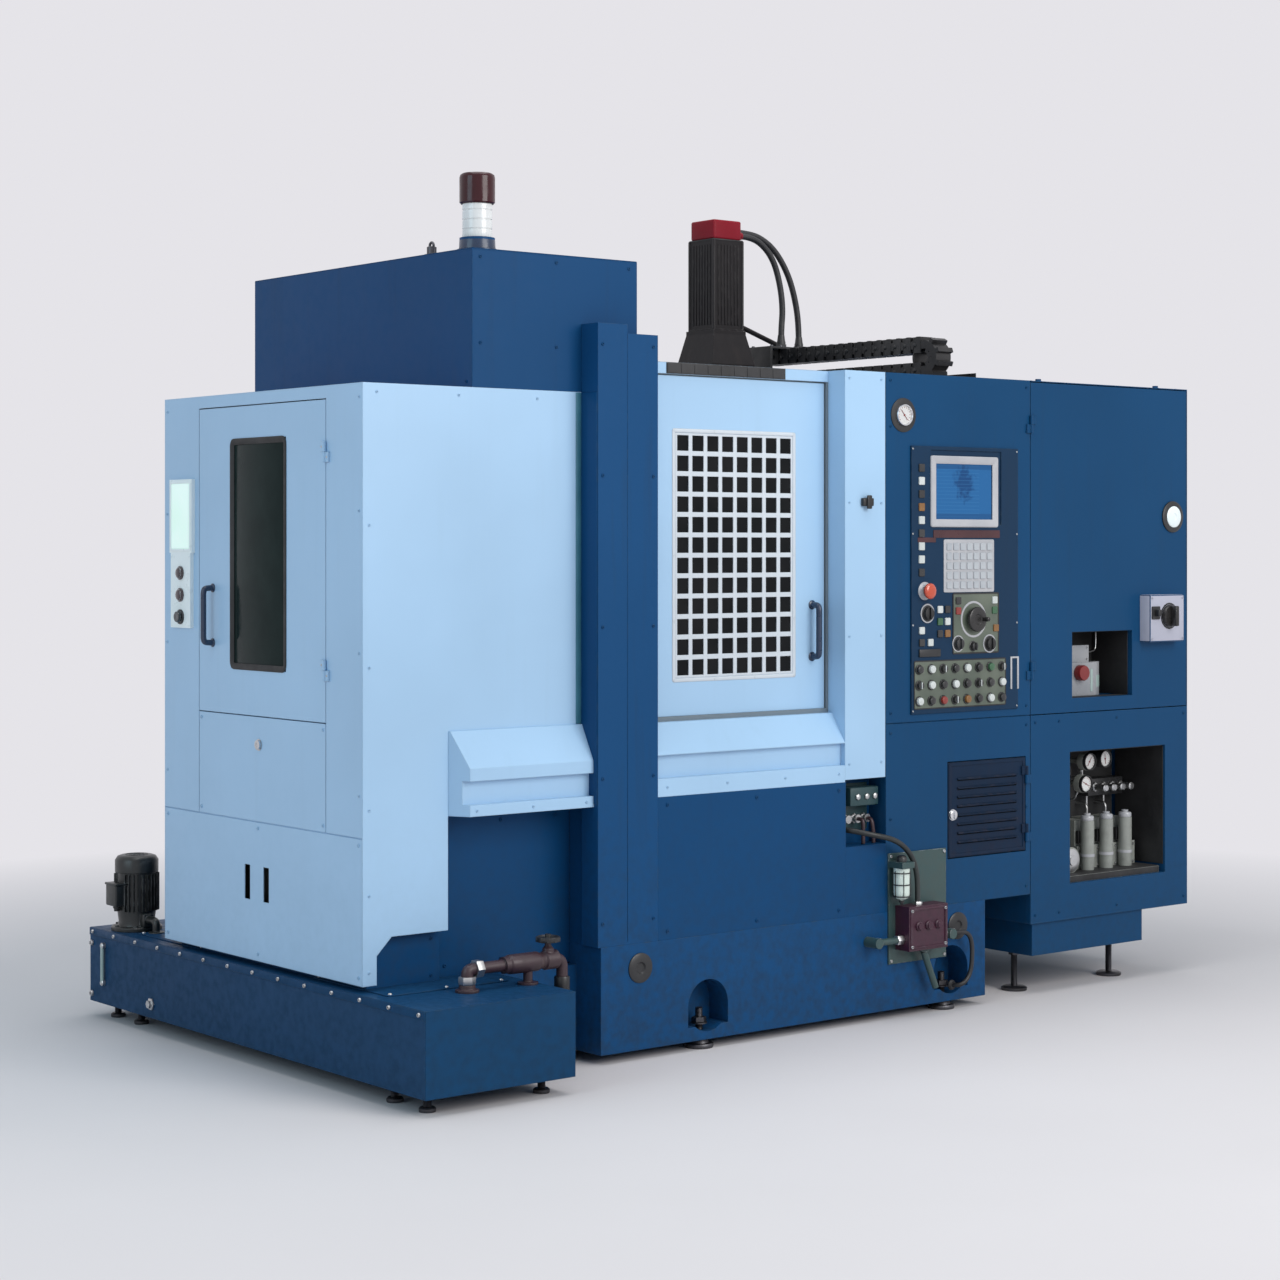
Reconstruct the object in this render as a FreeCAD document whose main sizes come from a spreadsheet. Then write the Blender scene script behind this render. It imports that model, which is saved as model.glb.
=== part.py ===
"""Horizontal machining centre with a twin-pallet loading station.

Right is +X, the loading station faces -Y and up is +Z, in millimetres.
The origin is on the floor, at the middle of the machine's outline seen from above.
"""
import FreeCAD, Part
import math
import os
from types import SimpleNamespace
import Sketcher

doc = FreeCAD.newDocument("machining_centre")

# Driving sizes in millimetres and degrees, one cell each
SIZES = [
    # whole machine
    ("centre_x", 67), ("sheet", 3), ("slip", 0.3), ("seam", 3), ("skin_gap", 8),
    # cast bed and its ways
    ("bed_half", 653), ("bed_front", -945), ("bed_rear", 692), ("bed_low", 30), ("bed_top", 350),
    ("nose_half", 533), ("way_top", 560), ("table_way_half", 190), ("table_way_front", -925),
    ("table_way_rear", 40), ("column_way_front", 250), ("column_way_rear", 640),
    ("column_way_left", -520), ("column_way_right", 628), ("rail_wide", 36), ("rail_high", 28),
    ("table_rail_reach", 150), ("column_rail_front", 310), ("column_rail_rear", 580),
    # levelling feet
    ("pocket_half", 80), ("pocket_low", 73), ("pocket_wall", 61), ("pocket_deep", 90), ("pocket_place", 528),
    ("foot_radius", 45), ("foot_pad", 14), ("screw_radius", 12), ("screw_high", 122),
    ("nut_radius", 24), ("nut_high", 20), ("tank_foot_radius", 24),
    ("tank_foot_outer", 900), ("tank_foot_inner", 740), ("tank_foot_inset", 60),
    # coolant tank
    ("tank_half", 980), ("tank_front", -1745), ("tank_rear", -1238), ("tank_low", 50),
    ("tank_top", 290), ("tank_wall", 4), ("tank_gap", 4),
    # coolant pump and return pipe
    ("pump_x", -840), ("pump_y", -1650), ("pump_flange", 82), ("pump_radius", 68),
    ("pump_rib", 74), ("pump_high", 244), ("pump_box_wide", 70), ("pump_box_deep", 44),
    ("pump_box_high", 74), ("pipe_radius", 17), ("pipe_x", 800), ("pipe_front", -1500),
    ("pipe_rear", -1150), ("pipe_rise", 62), ("pipe_tail", 104), ("valve_radius", 28), ("valve_high", 74),
    ("valve_reach", 50), ("valve_wheel", 36), ("wheel_deep", 24), ("strainer_long", 190), ("strainer_over", 30),
    ("stand_inset", 34),
    # loading booth
    ("booth_half", 573), ("booth_front", -1727), ("booth_rear", -956), ("booth_low", 308),
    ("booth_top", 2000), ("apron_leg", 47), ("apron_low", 440), ("apron_rear", -1438),
    ("apron_fillet", 50), ("ledge_low", 767), ("kick_top", 720), ("rail_deep", 30),
    ("slot_wide", 32), ("slot_low", 487), ("slot_top", 590), ("slot_left", -11), ("slot_step", 109),
    ("lock_x", 73), ("lock_z", 951), ("lock_radius", 13),
    # booth door, its window and handle
    ("leaf_left", -285), ("leaf_right", 445), ("leaf_low", 1036), ("leaf_head", 40),
    ("leaf_thick", 28), ("pane_left", -93), ("pane_right", 227), ("pane_low", 1173),
    ("pane_head", 99), ("pane_thick", 6), ("frame_wide", 16), ("grip_x", -202),
    ("grip_low", 1237), ("grip_top", 1422), ("grip_radius", 9), ("grip_reach", 42),
    ("hinge_radius", 6), ("hinge_long", 60), ("hinge_leaf", 22), ("hinge_inset", 120),
    # call panel
    ("call_left", -454), ("call_right", -314), ("call_low", 1519), ("call_top", 1747),
    ("call_deep", 12), ("button_x", -384), ("button_z", 1457), ("button_step", 68),
    ("button_radius", 17), ("button_out", 16), ("button_travel", 5), ("strip_wide", 124),
    # shelf on the side of the booth
    ("shelf_out", 62), ("shelf_top", 1010), ("shelf_break", 905), ("shelf_band_top", 868),
    ("shelf_band_low", 800), ("shelf_band_in", 22), ("shelf_taper", 34),
    # dark lower covers
    ("recess_half", 499), ("plinth_front", -1690), ("skirt_rear", 229), ("bay_low", 574),
    ("bay_depth", 80), ("bay_front", 50),
    # cover over the pallet changer and the signal lamp
    ("roof_lip", 4), ("roof_front", -1354), ("roof_rear", -744), ("roof_top", 2402),
    ("eye_x", 392), ("eye_radius", 14), ("eye_high", 26), ("lamp_inset", 62),
    ("lamp_base_radius", 52), ("lamp_base_high", 38), ("lamp_ring_radius", 44),
    ("lamp_ring_high", 100), ("lamp_lens_radius", 52), ("lamp_lens_high", 90), ("lens_round", 10),
    # pillar beside the booth
    ("pillar_rear", -727), ("pillar_top", 2203), ("pillar_step", 27), ("pillar_front_wide", 112),
    # work room and its sliding door
    ("room_top", 2105), ("room_rear", 150), ("wall_rear", 911), ("skirt_top", 783),
    ("slide_front", -700), ("slide_rear", 37), ("slide_low", 1017), ("slide_top", 2065),
    ("slide_thick", 32), ("slide_gap", 5), ("slide_rim", 30),
    ("glass_front", -586), ("glass_rear", -100), ("glass_low", 1134), ("glass_top", 1890),
    ("glass_lap", 12), ("grille_bar", 15), ("grille_columns", 8), ("grille_rows", 12),
    ("pull_y", -16), ("pull_low", 1175), ("pull_top", 1361), ("pull_radius", 10), ("pull_reach", 44),
    ("track_inset", 4), ("track_high", 26), ("track_front", -1351), ("sill_high", 22),
    ("jamb", 7), ("jamb_front_wide", 24),
    # shelf under the sliding door and the post beside it
    ("step_low", 783), ("step_lip", 838), ("step_band", 911), ("step_top", 1003),
    ("step_in", 20), ("step_slope", 60), ("post_front", 47), ("post_rear", 226), ("post_low", 790),
    ("catch_y", 140), ("catch_z", 1682), ("catch_wide", 44), ("catch_high", 22), ("catch_out", 12),
    # control housing and panel
    ("housing_front", 229), ("housing_rear", 914), ("housing_deep", 88), ("split_z", 960),
    ("panel_front", 348), ("panel_rear", 839), ("panel_low", 996), ("panel_top", 1861),
    ("panel_deep", 60), ("panel_proud", 6), ("panel_lap", 8), ("bezel_front", 431),
    ("bezel_rear", 765), ("bezel_low", 1611), ("bezel_top", 1857), ("bezel_deep", 4),
    ("screen_front", 455), ("screen_rear", 717), ("screen_low", 1627), ("screen_top", 1814),
    ("soft_y", 372), ("soft_key", 26), ("soft_step", 43), ("soft_low", 1440), ("soft_count", 9),
    ("key_front", 501), ("key_low", 1398), ("key_size", 24), ("key_step", 32), ("key_out", 4),
    ("key_columns", 7), ("key_rows", 5), ("row_front", 372), ("row_step", 56), ("row_low", 1030),
    ("row_rise", 52), ("row_radius", 15), ("row_columns", 8), ("row_rows", 3), ("row_out", 14),
    ("stop_y", 400), ("stop_z", 1392), ("stop_radius", 26), ("stop_out", 34), ("stop_cap", 14),
    ("stop_travel", 6), ("stem_radius", 9), ("stem_deep", 24), ("wheel_y", 629), ("wheel_z", 1295),
    ("wheel_radius", 42), ("wheel_thick", 16), ("wheel_out", 10), ("crank_reach", 28),
    ("crank_radius", 8), ("crank_long", 22),
    # louvred service door
    ("vent_front", 516), ("vent_rear", 889), ("vent_low", 503), ("vent_top", 820),
    ("vent_thick", 14), ("vent_slot", 8), ("vent_step", 30), ("vent_margin", 44),
    ("vent_latch_y", 536), ("vent_latch_z", 646), ("vent_latch_radius", 14),
    # rear electrical cabinet
    ("cabinet_left", -420), ("cabinet_rear", 1745), ("cabinet_low", 246), ("plinth_low", 135),
    ("plinth_rear", 1507), ("plinth_inset", 40), ("niche_front", 1116), ("niche_rear", 1622),
    ("niche_low", 369), ("niche_top", 826), ("niche_deep", 260), ("oiler_front", 1127),
    ("oiler_rear", 1443), ("oiler_low", 1011), ("oiler_top", 1241), ("oiler_deep", 170),
    ("power_thick", 18), ("switch_front", 1486), ("switch_rear", 1672), ("switch_low", 1199),
    ("switch_top", 1365), ("switch_out", 46), ("knob_y", 1590), ("knob_z", 1290),
    ("knob_radius", 40), ("knob_thick", 14), ("knob_bar", 26), ("knob_bar_wide", 18),
    ("lock_inset", 11), ("lock_high", 1644), ("cooler_inset", 320), ("cooler_out", 24),
    ("cooler_low", 900), ("cooler_top", 1700),
    # hydraulic unit and oiler in the niches
    ("hyd_gap", 14), ("hyd_tray", 22), ("hyd_plate", 12), ("hyd_block_deep", 120),
    ("hyd_block_high", 84), ("filter_y", 1311), ("filter_step", 101), ("filter_count", 3),
    ("filter_radius", 24), ("filter_high", 176), ("valve_tall", 90), ("gauge_y", 1196),
    ("gauge_z", 748), ("gauge_step", 134), ("gauge_rise", 26), ("gauge_radius", 32),
    ("gauge_thick", 26), ("pump_body", 46), ("hyd_pump_long", 170), ("oil_inset", 48),
    ("oil_deep", 110), ("oil_wide", 150), ("oil_high", 118), ("oil_head", 60), ("oil_cap", 24),
    ("oil_can", 27),
    # air service unit
    ("air_front", 236), ("air_rear", 500), ("air_plate_low", 180), ("air_plate_top", 540),
    ("air_plate", 6), ("air_block_deep", 64), ("bowl_radius", 27), ("bowl_long", 106),
    ("bowl_top", 496), ("head_top", 516), ("valve_inset", 30), ("valve_wide", 176),
    ("valve_low", 226), ("valve_high_z", 370), ("fitting_rise", 36), ("fitting_radius", 11),
    ("fitting_wide", 17), ("left_fitting", 146), ("hose_y", 336), ("drain_y", 418), ("drain_low", 92),
    ("drain_long", 134), ("drain_tilt", 24),
    ("drain_top", 364),
    # column, head and spindle
    ("column_x", -213), ("column_half", 265), ("leg_wide", 100),
    ("column_base_high", 170), ("beam_low", 1950), ("column_top", 2095), ("web_thick", 70),
    ("post_rail_reach", 215), ("post_rail_deep", 28), ("head_z", 1620), 
    ("wing_half", 255), ("wing_thick", 52), ("wing_high", 200), ("ram_half", 150),
    ("ram_high", 165), ("ram_front", -10), ("nose_y", -60), ("nose_radius", 100),
    ("spindle_radius", 70), ("spindle_long", 206), ("taper_radius", 22), ("taper_end", 13),
    ("taper_long", 70), ("key_wide", 16), ("key_high", 3), ("screw_y", 300), ("lead_radius", 20),
    ("nut_half", 60), ("nut_back", 350), ("nut_tall", 60),
    ("motor_low", 2300), ("motor_wide", 134), ("motor_top", 2622), ("cap_top", 2690),
    ("cap_wide", 128), ("mount_foot", 230), ("mount_neck", 150), ("mount_flange", 14),
    ("mount_wide", 196), ("mount_rise", 85),
    ("socket_z", 2660), ("socket_drop", 18), ("socket_step", 34), ("socket_radius", 14),
    ("socket_long", 24), ("conduit_step", 37), ("conduit_y", 640), ("conduit_radius", 9),
    ("conduit_long", 300), ("conduit_tilt", 72),
    # table
    ("table_y", -700), ("saddle_half_x", 230), ("saddle_half_y", 230),
    ("saddle_top", 690), ("turret_radius", 190), ("turret_top", 870), ("plate_radius", 180),
    ("plate_top", 929), ("spigot_radius", 60), ("spigot_deep", 40),
    # pallet changer
    ("swing_y", -1000), ("swing_reach", 300), ("lift", 60), ("pedestal_half", 95),
    ("pedestal_front", -1060), ("pedestal_rear", -940), ("pedestal_top", 860), ("shaft_radius", 45),
    ("shaft_low", 420), ("arm_low", 940), ("arm_top", 990), ("tine_inner", 190), ("tine_wide", 50),
    ("arm_long", 440), ("cross_half", 60), ("pallet_half", 200), ("pallet_thick", 80),
    ("pallet_corner", 60), ("groove_wide", 14), ("groove_deep", 16), ("groove_step", 80),
    ("screen_half", 495), ("screen_thick", 16), ("divider_top", 1900),
    # tool magazine and changer
    ("store_out", 394), ("store_front", -450), ("store_rear", 650), ("store_low", 860),
    ("store_top", 1990), ("disc_y", 290), ("disc_z", 1250), ("disc_radius", 300),
    ("disc_thick", 20), ("disc_out", 204), ("pot_count", 16), ("pot_pitch", 262), ("pot_radius", 34),
    ("pot_long", 90), ("shank_radius", 16), ("tool_radius", 30), ("tool_long", 84),
    ("hub_radius", 44), ("hub_block", 120), ("stub_radius", 20), ("stub_long", 40),
    ("flange_thick", 14),
    ("swap_front", -98), ("swap_thick", 34), ("swap_reach", 287), ("swap_wide", 64),
    ("swap_tip", 42), ("swap_jaw", 26), ("gear_over", 60), ("gear_high", 200),
    ("gear_rear", 150), ("swap_shaft", 28), ("swap_slot_front", -115), ("swap_slot_rear", -45),
    # energy chain and its tray
    ("tray_front", 530), ("tray_rear", 670), ("tray_end", 20),
    ("tray_lip", 16), ("chain_y", 600), ("chain_wide", 70), ("chain_link", 54), ("chain_pitch", 48),
    ("chain_bend", 16), ("chain_left", -262), ("chain_right", 560), ("bridge_wide", 120), ("bridge_rear", 730),
    ("bridge_plate", 8),
    # cables
    ("cable_radius", 11), ("hose_radius", 9),
]

sheet = doc.addObject("Spreadsheet::Sheet", "sizes")
for row, (alias, value) in enumerate(SIZES, start=1):
    sheet.set(f"A{row}", alias)
    sheet.set(f"B{row}", str(value))
    sheet.setAlias(f"B{row}", alias)
doc.recompute()


class Size:
    """A number together with the spreadsheet formula that gives it."""

    def __init__(self, number, formula):
        self.number = number
        self.formula = formula

    def __add__(self, other):
        return Size(self.number + number(other), f"({self.formula} + {formula(other)})")

    def __sub__(self, other):
        return Size(self.number - number(other), f"({self.formula} - {formula(other)})")

    def __mul__(self, other):
        return Size(self.number * number(other), f"({self.formula} * {formula(other)})")

    def __truediv__(self, other):
        return Size(self.number / number(other), f"({self.formula} / {formula(other)})")

    def __radd__(self, other):
        return self + other

    def __rsub__(self, other):
        return self * -1 + other

    def __rmul__(self, other):
        return self * other

    def __neg__(self):
        return self * -1


def number(value):
    """The plain number of a size or of a constant."""
    return value.number if isinstance(value, Size) else value


def formula(value):
    """The formula text of a size or of a constant."""
    return value.formula if isinstance(value, Size) else f"({value})"


s = SimpleNamespace(**{alias: Size(value, f"sizes.{alias}") for alias, value in SIZES})
nodes = []

TURNED = {
    "x": FreeCAD.Rotation(FreeCAD.Vector(0, 1, 0), 90),
    "y": FreeCAD.Rotation(FreeCAD.Vector(1, 0, 0), -90),
    "z": FreeCAD.Rotation(),
}


def set_size(item, name, value):
    """Bind one property to its formula."""
    item.setExpression(name, formula(value))


def set_place(item, place):
    """Bind the position of an object to three formulas."""
    for axis, value in zip("xyz", place):
        set_size(item, f"Placement.Base.{axis}", value)
    return item


def slab(name, xs, ys, zs):
    """A rectangular block between two planes in each direction."""
    item = doc.addObject("Part::Box", name)
    for prop, (low, high) in zip(("Length", "Width", "Height"), (xs, ys, zs)):
        set_size(item, prop, high - low)
    return set_place(item, (xs[0], ys[0], zs[0]))


def rod(name, axis, start, radius, length):
    """A cylinder that runs from its start point along +X, +Y or +Z."""
    item = doc.addObject("Part::Cylinder", name)
    item.Placement = FreeCAD.Placement(FreeCAD.Vector(), TURNED[axis])
    set_size(item, "Radius", radius)
    set_size(item, "Height", length)
    return set_place(item, start)


def leaning(name, start, radius, length, tilt):
    """A cylinder in a plane of constant x: upright at a tilt of zero, its top leaning to -Y as the tilt grows."""
    item = rod(name, "z", start, radius, length)
    item.Placement = FreeCAD.Placement(item.Placement.Base, FreeCAD.Rotation(FreeCAD.Vector(1, 0, 0), tilt))
    return set_place(item, start)


def cone(name, axis, start, radius_start, radius_end, length):
    """A cone frustum that runs from its start point along +X, +Y or +Z."""
    item = doc.addObject("Part::Cone", name)
    item.Placement = FreeCAD.Placement(FreeCAD.Vector(), TURNED[axis])
    set_size(item, "Radius1", radius_start)
    set_size(item, "Radius2", radius_end)
    set_size(item, "Height", length)
    return set_place(item, start)


def fuse(name, *parts):
    """One solid made of several."""
    item = doc.addObject("Part::MultiFuse", name)
    item.Shapes = list(parts)
    item.Refine = True
    return item


def cut(name, base, *tools):
    """A solid with one or more cut-outs."""
    item = doc.addObject("Part::Cut", name)
    item.Base = base
    item.Tool = tools[0] if len(tools) == 1 else fuse(name + "_tools", *tools)
    return item


def group(name, *parts):
    """Separate solids kept side by side."""
    item = doc.addObject("Part::Compound", name)
    item.Links = list(parts)
    return item


def node(name, item):
    """Register a finished piece under its own name."""
    item.Label = name
    nodes.append(item)
    return item


def origin_plane(body, role):
    """One of the body's own origin planes."""
    return [plane for plane in body.Origin.OriginFeatures if plane.Role == role][0]


def outline(body, name, role, points):
    """A closed outline of straight edges, each corner held by its two distances from the origin."""
    sketch = body.newObject("Sketcher::SketchObject", name)
    sketch.AttachmentSupport = [(origin_plane(body, role), "")]
    sketch.MapMode = "FlatFace"
    corners = [FreeCAD.Vector(number(u), number(v), 0) for u, v in points]
    for index, corner in enumerate(corners):
        following = corners[(index + 1) % len(corners)]
        sketch.addGeometry(Part.LineSegment(corner, following), False)
    for index in range(len(corners)):
        sketch.addConstraint(Sketcher.Constraint("Coincident", index, 2, (index + 1) % len(corners), 1))
    for index, (u, v) in enumerate(points):
        for kind, value in (("DistanceX", u), ("DistanceY", v)):
            place = sketch.addConstraint(Sketcher.Constraint(kind, -1, 1, index, 1, number(value)))
            sketch.setExpression(f"Constraints[{place}]", formula(value))
    return sketch


def padded(name, role, points, length, place, reverse=False):
    """A body padded from an outline on one of its origin planes."""
    body = doc.addObject("PartDesign::Body", name)
    pad = body.newObject("PartDesign::Pad", name + "_pad")
    pad.Profile = outline(body, name + "_outline", role, points)
    set_size(pad, "Length", length)
    pad.Reversed = reverse
    body.Tip = pad
    return set_place(body, place)


def turned(name, axis, points, place):
    """A body turned from half its section: each point is a radius and a height along the axis."""
    body = doc.addObject("PartDesign::Body", name)
    sketch = outline(body, name + "_section", "XZ_Plane", points)
    turn = body.newObject("PartDesign::Revolution", name + "_turn")
    turn.Profile = sketch
    turn.ReferenceAxis = (sketch, ["V_Axis"])
    turn.Angle = 360
    body.Tip = turn
    body.Placement = FreeCAD.Placement(FreeCAD.Vector(), TURNED[axis])
    return set_place(body, place)


def hinge_parts(name, x, y, z, leaf_xs, leaf_ys, frame_xs, frame_ys):
    """A two-knuckle hinge about a vertical pin: the upper knuckle is the leaf's, the lower the frame's."""
    middle = z + s.hinge_long / 2
    knuckle = s.hinge_long / 2 - s.slip / 2
    upper = fuse(name + "_upper",
                 rod(name + "_eye", "z", (x, y, middle + s.slip / 2), s.hinge_radius, knuckle),
                 slab(name + "_strap", leaf_xs, leaf_ys, (middle + s.slip / 2, z + s.hinge_long)))
    lower = fuse(name + "_lower",
                 rod(name + "_pin", "z", (x, y, z), s.hinge_radius, knuckle),
                 slab(name + "_plate", frame_xs, frame_ys, (z, middle - s.slip / 2)))
    return upper, lower


def cord(name, route, radius):
    """A round cord along straight runs joined by tangent arcs, each as large as its runs allow."""
    points = [FreeCAD.Vector(*point) for point in route]
    edges = []
    start = points[0]
    length = 0
    radii = []
    for before, corner, after in zip(points, points[1:], points[2:]):
        run_in = corner - before
        run_out = after - corner
        half_turn = run_in.getAngle(run_out) / 2
        shorter = min(run_in.Length, run_out.Length)
        bend = 0.45 * shorter / math.tan(half_turn)
        reach = bend * math.tan(half_turn)
        inward = FreeCAD.Vector(run_in).normalize()
        outward = FreeCAD.Vector(run_out).normalize()
        arc_start = corner - inward * reach
        arc_end = corner + outward * reach
        to_middle = (outward - inward).normalize()
        centre = corner + to_middle * (bend / math.cos(half_turn))
        arc_middle = centre - to_middle * bend
        edges.append(Part.LineSegment(start, arc_start).toShape())
        edges.append(Part.Arc(arc_start, arc_middle, arc_end).toShape())
        length += (arc_start - start).Length + 2 * half_turn * bend
        start = arc_end
        radii.append(round(bend))
    edges.append(Part.LineSegment(start, points[-1]).toShape())
    length += (points[-1] - start).Length
    path = Part.Wire(edges)
    direction = (points[1] - points[0]).normalize()
    ring = Part.Wire([Part.makeCircle(number(radius), points[0], direction)])
    item = doc.addObject("Part::Feature", name)
    item.Shape = path.makePipeShell([ring], True, False)
    section = math.pi * number(radius) ** 2
    print(name, "radii", radii, "length", round(length), "volume share", item.Shape.Volume / (section * length))
    return item


# Planes that several pieces share
bed_left = s.centre_x - s.bed_half
bed_right = s.centre_x + s.bed_half
booth_left = s.centre_x - s.booth_half
booth_right = s.centre_x + s.booth_half
inner_left = booth_left + s.sheet
inner_right = booth_right - s.sheet
skin = bed_right - s.sheet
door_outer = inner_right - s.slide_gap
door_inner = door_outer - s.slide_thick
cabinet_right = bed_right

# Cast bed: base slab, nose that carries the pallet changer, and the raised ways
pockets = []
for side, start in (("right", bed_right - s.pocket_deep), ("left", bed_left)):
    for place in (-s.pocket_place, s.pocket_place):
        arch_z = s.pocket_low + s.pocket_wall
        pockets.append(slab("pocket_" + side, (start, start + s.pocket_deep),
                            (place - s.pocket_half, place + s.pocket_half), (s.pocket_low, arch_z)))
        pockets.append(rod("arch_" + side, "x", (start, place, arch_z), s.pocket_half, s.pocket_deep))
foot_places = [(x, y) for x in (bed_right - s.pocket_deep / 2, bed_left + s.pocket_deep / 2)
               for y in (-s.pocket_place, s.pocket_place)]
foot_holes = [rod("foot_hole", "z", (x, y, s.bed_low), s.screw_radius + s.slip, s.pocket_low - s.bed_low)
              for x, y in foot_places]
shaft_bore = rod("shaft_bore", "z", (s.centre_x, s.swing_y, s.shaft_low - s.lift - s.skin_gap),
                 s.shaft_radius + s.slip, s.pedestal_top)
nose_front = s.tank_rear + s.tank_gap
nose_top = s.tank_top - s.tank_gap
table_ways = slab("table_ways", (s.centre_x - s.table_way_half, s.centre_x + s.table_way_half),
                  (s.table_way_front, s.table_way_rear), (s.bed_top, s.way_top))
column_ways = slab("column_ways", (s.column_way_left, s.column_way_right),
                   (s.column_way_front, s.column_way_rear), (s.bed_top, s.way_top))
bed_body = fuse("bed_body",
                slab("bed_slab", (bed_left, bed_right), (s.bed_front, s.bed_rear), (s.bed_low, s.bed_top)),
                slab("bed_nose", (s.centre_x - s.nose_half, s.centre_x + s.nose_half),
                     (nose_front, s.bed_front), (s.bed_low, nose_top)),
                slab("pedestal", (s.centre_x - s.pedestal_half, s.centre_x + s.pedestal_half),
                     (s.pedestal_front, s.pedestal_rear), (s.bed_low, s.pedestal_top)),
                table_ways, column_ways)
node("bed", cut("bed", bed_body, shaft_bore, *pockets, *foot_holes))

# Levelling feet: a pad, a screw through the bed's foot and a nut on it; tank and cabinet feet are plain
feet = []
for x, y in foot_places:
    feet.append(fuse("levelling_foot",
                     rod("foot_pad", "z", (x, y, 0), s.foot_radius, s.foot_pad),
                     cone("foot_neck", "z", (x, y, s.foot_pad), s.foot_radius * 0.7, s.nut_radius,
                          s.bed_low - s.foot_pad),
                     rod("foot_screw", "z", (x, y, 0), s.screw_radius, s.screw_high),
                     rod("foot_nut", "z", (x, y, s.pocket_low), s.nut_radius, s.nut_high)))
for x in (-s.tank_foot_outer, -s.tank_foot_inner, s.tank_foot_inner, s.tank_foot_outer):
    for y in (s.tank_front + s.tank_foot_inset, s.tank_rear - s.tank_foot_inset):
        feet.append(fuse("tank_foot",
                         rod("tank_pad", "z", (x, y, 0), s.tank_foot_radius, s.foot_pad),
                         rod("tank_stem", "z", (x, y, 0), s.screw_radius, s.tank_low)))
plinth_xs = (s.cabinet_left + s.plinth_inset, cabinet_right - s.plinth_inset / 4)
plinth_ys = (s.housing_rear + s.plinth_inset / 2, s.plinth_rear)
for x in (plinth_xs[0] + s.plinth_inset, plinth_xs[1] - s.plinth_inset * 3):
    for y in (plinth_ys[0] + s.plinth_inset, plinth_ys[1] - s.plinth_inset):
        feet.append(fuse("cabinet_foot",
                         rod("cabinet_pad", "z", (x, y, 0), s.foot_radius, s.foot_pad),
                         rod("cabinet_stem", "z", (x, y, 0), s.screw_radius, s.plinth_low)))
node("machine_feet", group("machine_feet", *feet))

# Coolant tank: a welded trough and its lid
tank_xs = (-s.tank_half, s.tank_half)
tank_ys = (s.tank_front, s.tank_rear)
trough = cut("trough",
             slab("trough_block", tank_xs, tank_ys, (s.tank_low, s.tank_top - s.sheet)),
             slab("trough_space", (tank_xs[0] + s.tank_wall, tank_xs[1] - s.tank_wall),
                  (tank_ys[0] + s.tank_wall, tank_ys[1] - s.tank_wall),
                  (s.tank_low + s.tank_wall, s.tank_top)))
lid = slab("tank_lid", tank_xs, tank_ys, (s.tank_top - s.sheet, s.tank_top))
node("coolant_tank", group("coolant_tank", trough, lid))

# Coolant pump: a turned motor on its flange, with the terminal box on its side
pump_section = [(0, 0), (s.pump_flange, 0), (s.pump_flange, s.foot_pad), (s.pump_radius, s.foot_pad),
                (s.pump_radius, s.pump_high * 0.28), (s.pump_rib, s.pump_high * 0.28),
                (s.pump_rib, s.pump_high * 0.76), (s.pump_radius, s.pump_high * 0.76),
                (s.pump_radius, s.pump_high * 0.92), (s.pump_radius * 0.8, s.pump_high), (0, s.pump_high)]
pump_place = (s.pump_x, s.pump_y, s.tank_top)
pump_box_z = s.tank_top + s.pump_high * 0.34
node("coolant_pump",
     fuse("coolant_pump", turned("pump_motor", "z", pump_section, pump_place),
          slab("pump_box", (s.pump_x - s.pump_box_wide / 2, s.pump_x + s.pump_box_wide / 2),
               (s.pump_y - s.pump_rib - s.pump_box_deep / 2, s.pump_y - s.pump_rib + s.pump_box_deep / 2),
               (pump_box_z, pump_box_z + s.pump_box_high))))

# Coolant return pipe over the tank lid, with its drop, stand, strainer, hand-wheel valve and tail
pipe_z = s.tank_top + s.pipe_rise
valve_y = s.pipe_rear - s.valve_reach
node("coolant_pipe",
     fuse("coolant_pipe",
          rod("pipe_run", "y", (s.pipe_x, s.pipe_front, pipe_z), s.pipe_radius, s.pipe_rear - s.pipe_front),
          rod("pipe_drop", "z", (s.pipe_x, s.pipe_front + s.pipe_radius, s.tank_top), s.pipe_radius,
              s.pipe_rise),
          rod("pipe_stand", "z", (s.pipe_x, s.tank_rear - s.stand_inset, s.tank_top), s.pipe_radius * 0.8,
              s.pipe_rise),
          rod("pipe_strainer", "y", (s.pipe_x, valve_y + s.strainer_over - s.strainer_long, pipe_z), s.valve_radius,
              s.strainer_long),
          rod("pipe_valve", "z", (s.pipe_x, valve_y, pipe_z), s.pipe_radius, s.valve_high),
          rod("pipe_wheel", "z", (s.pipe_x, valve_y, pipe_z + s.valve_high - s.wheel_deep), s.valve_wheel,
              s.wheel_deep),
          rod("pipe_outlet", "z", (s.pipe_x, s.pipe_rear, pipe_z - s.pipe_tail), s.pipe_radius, s.pipe_tail)))

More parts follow.
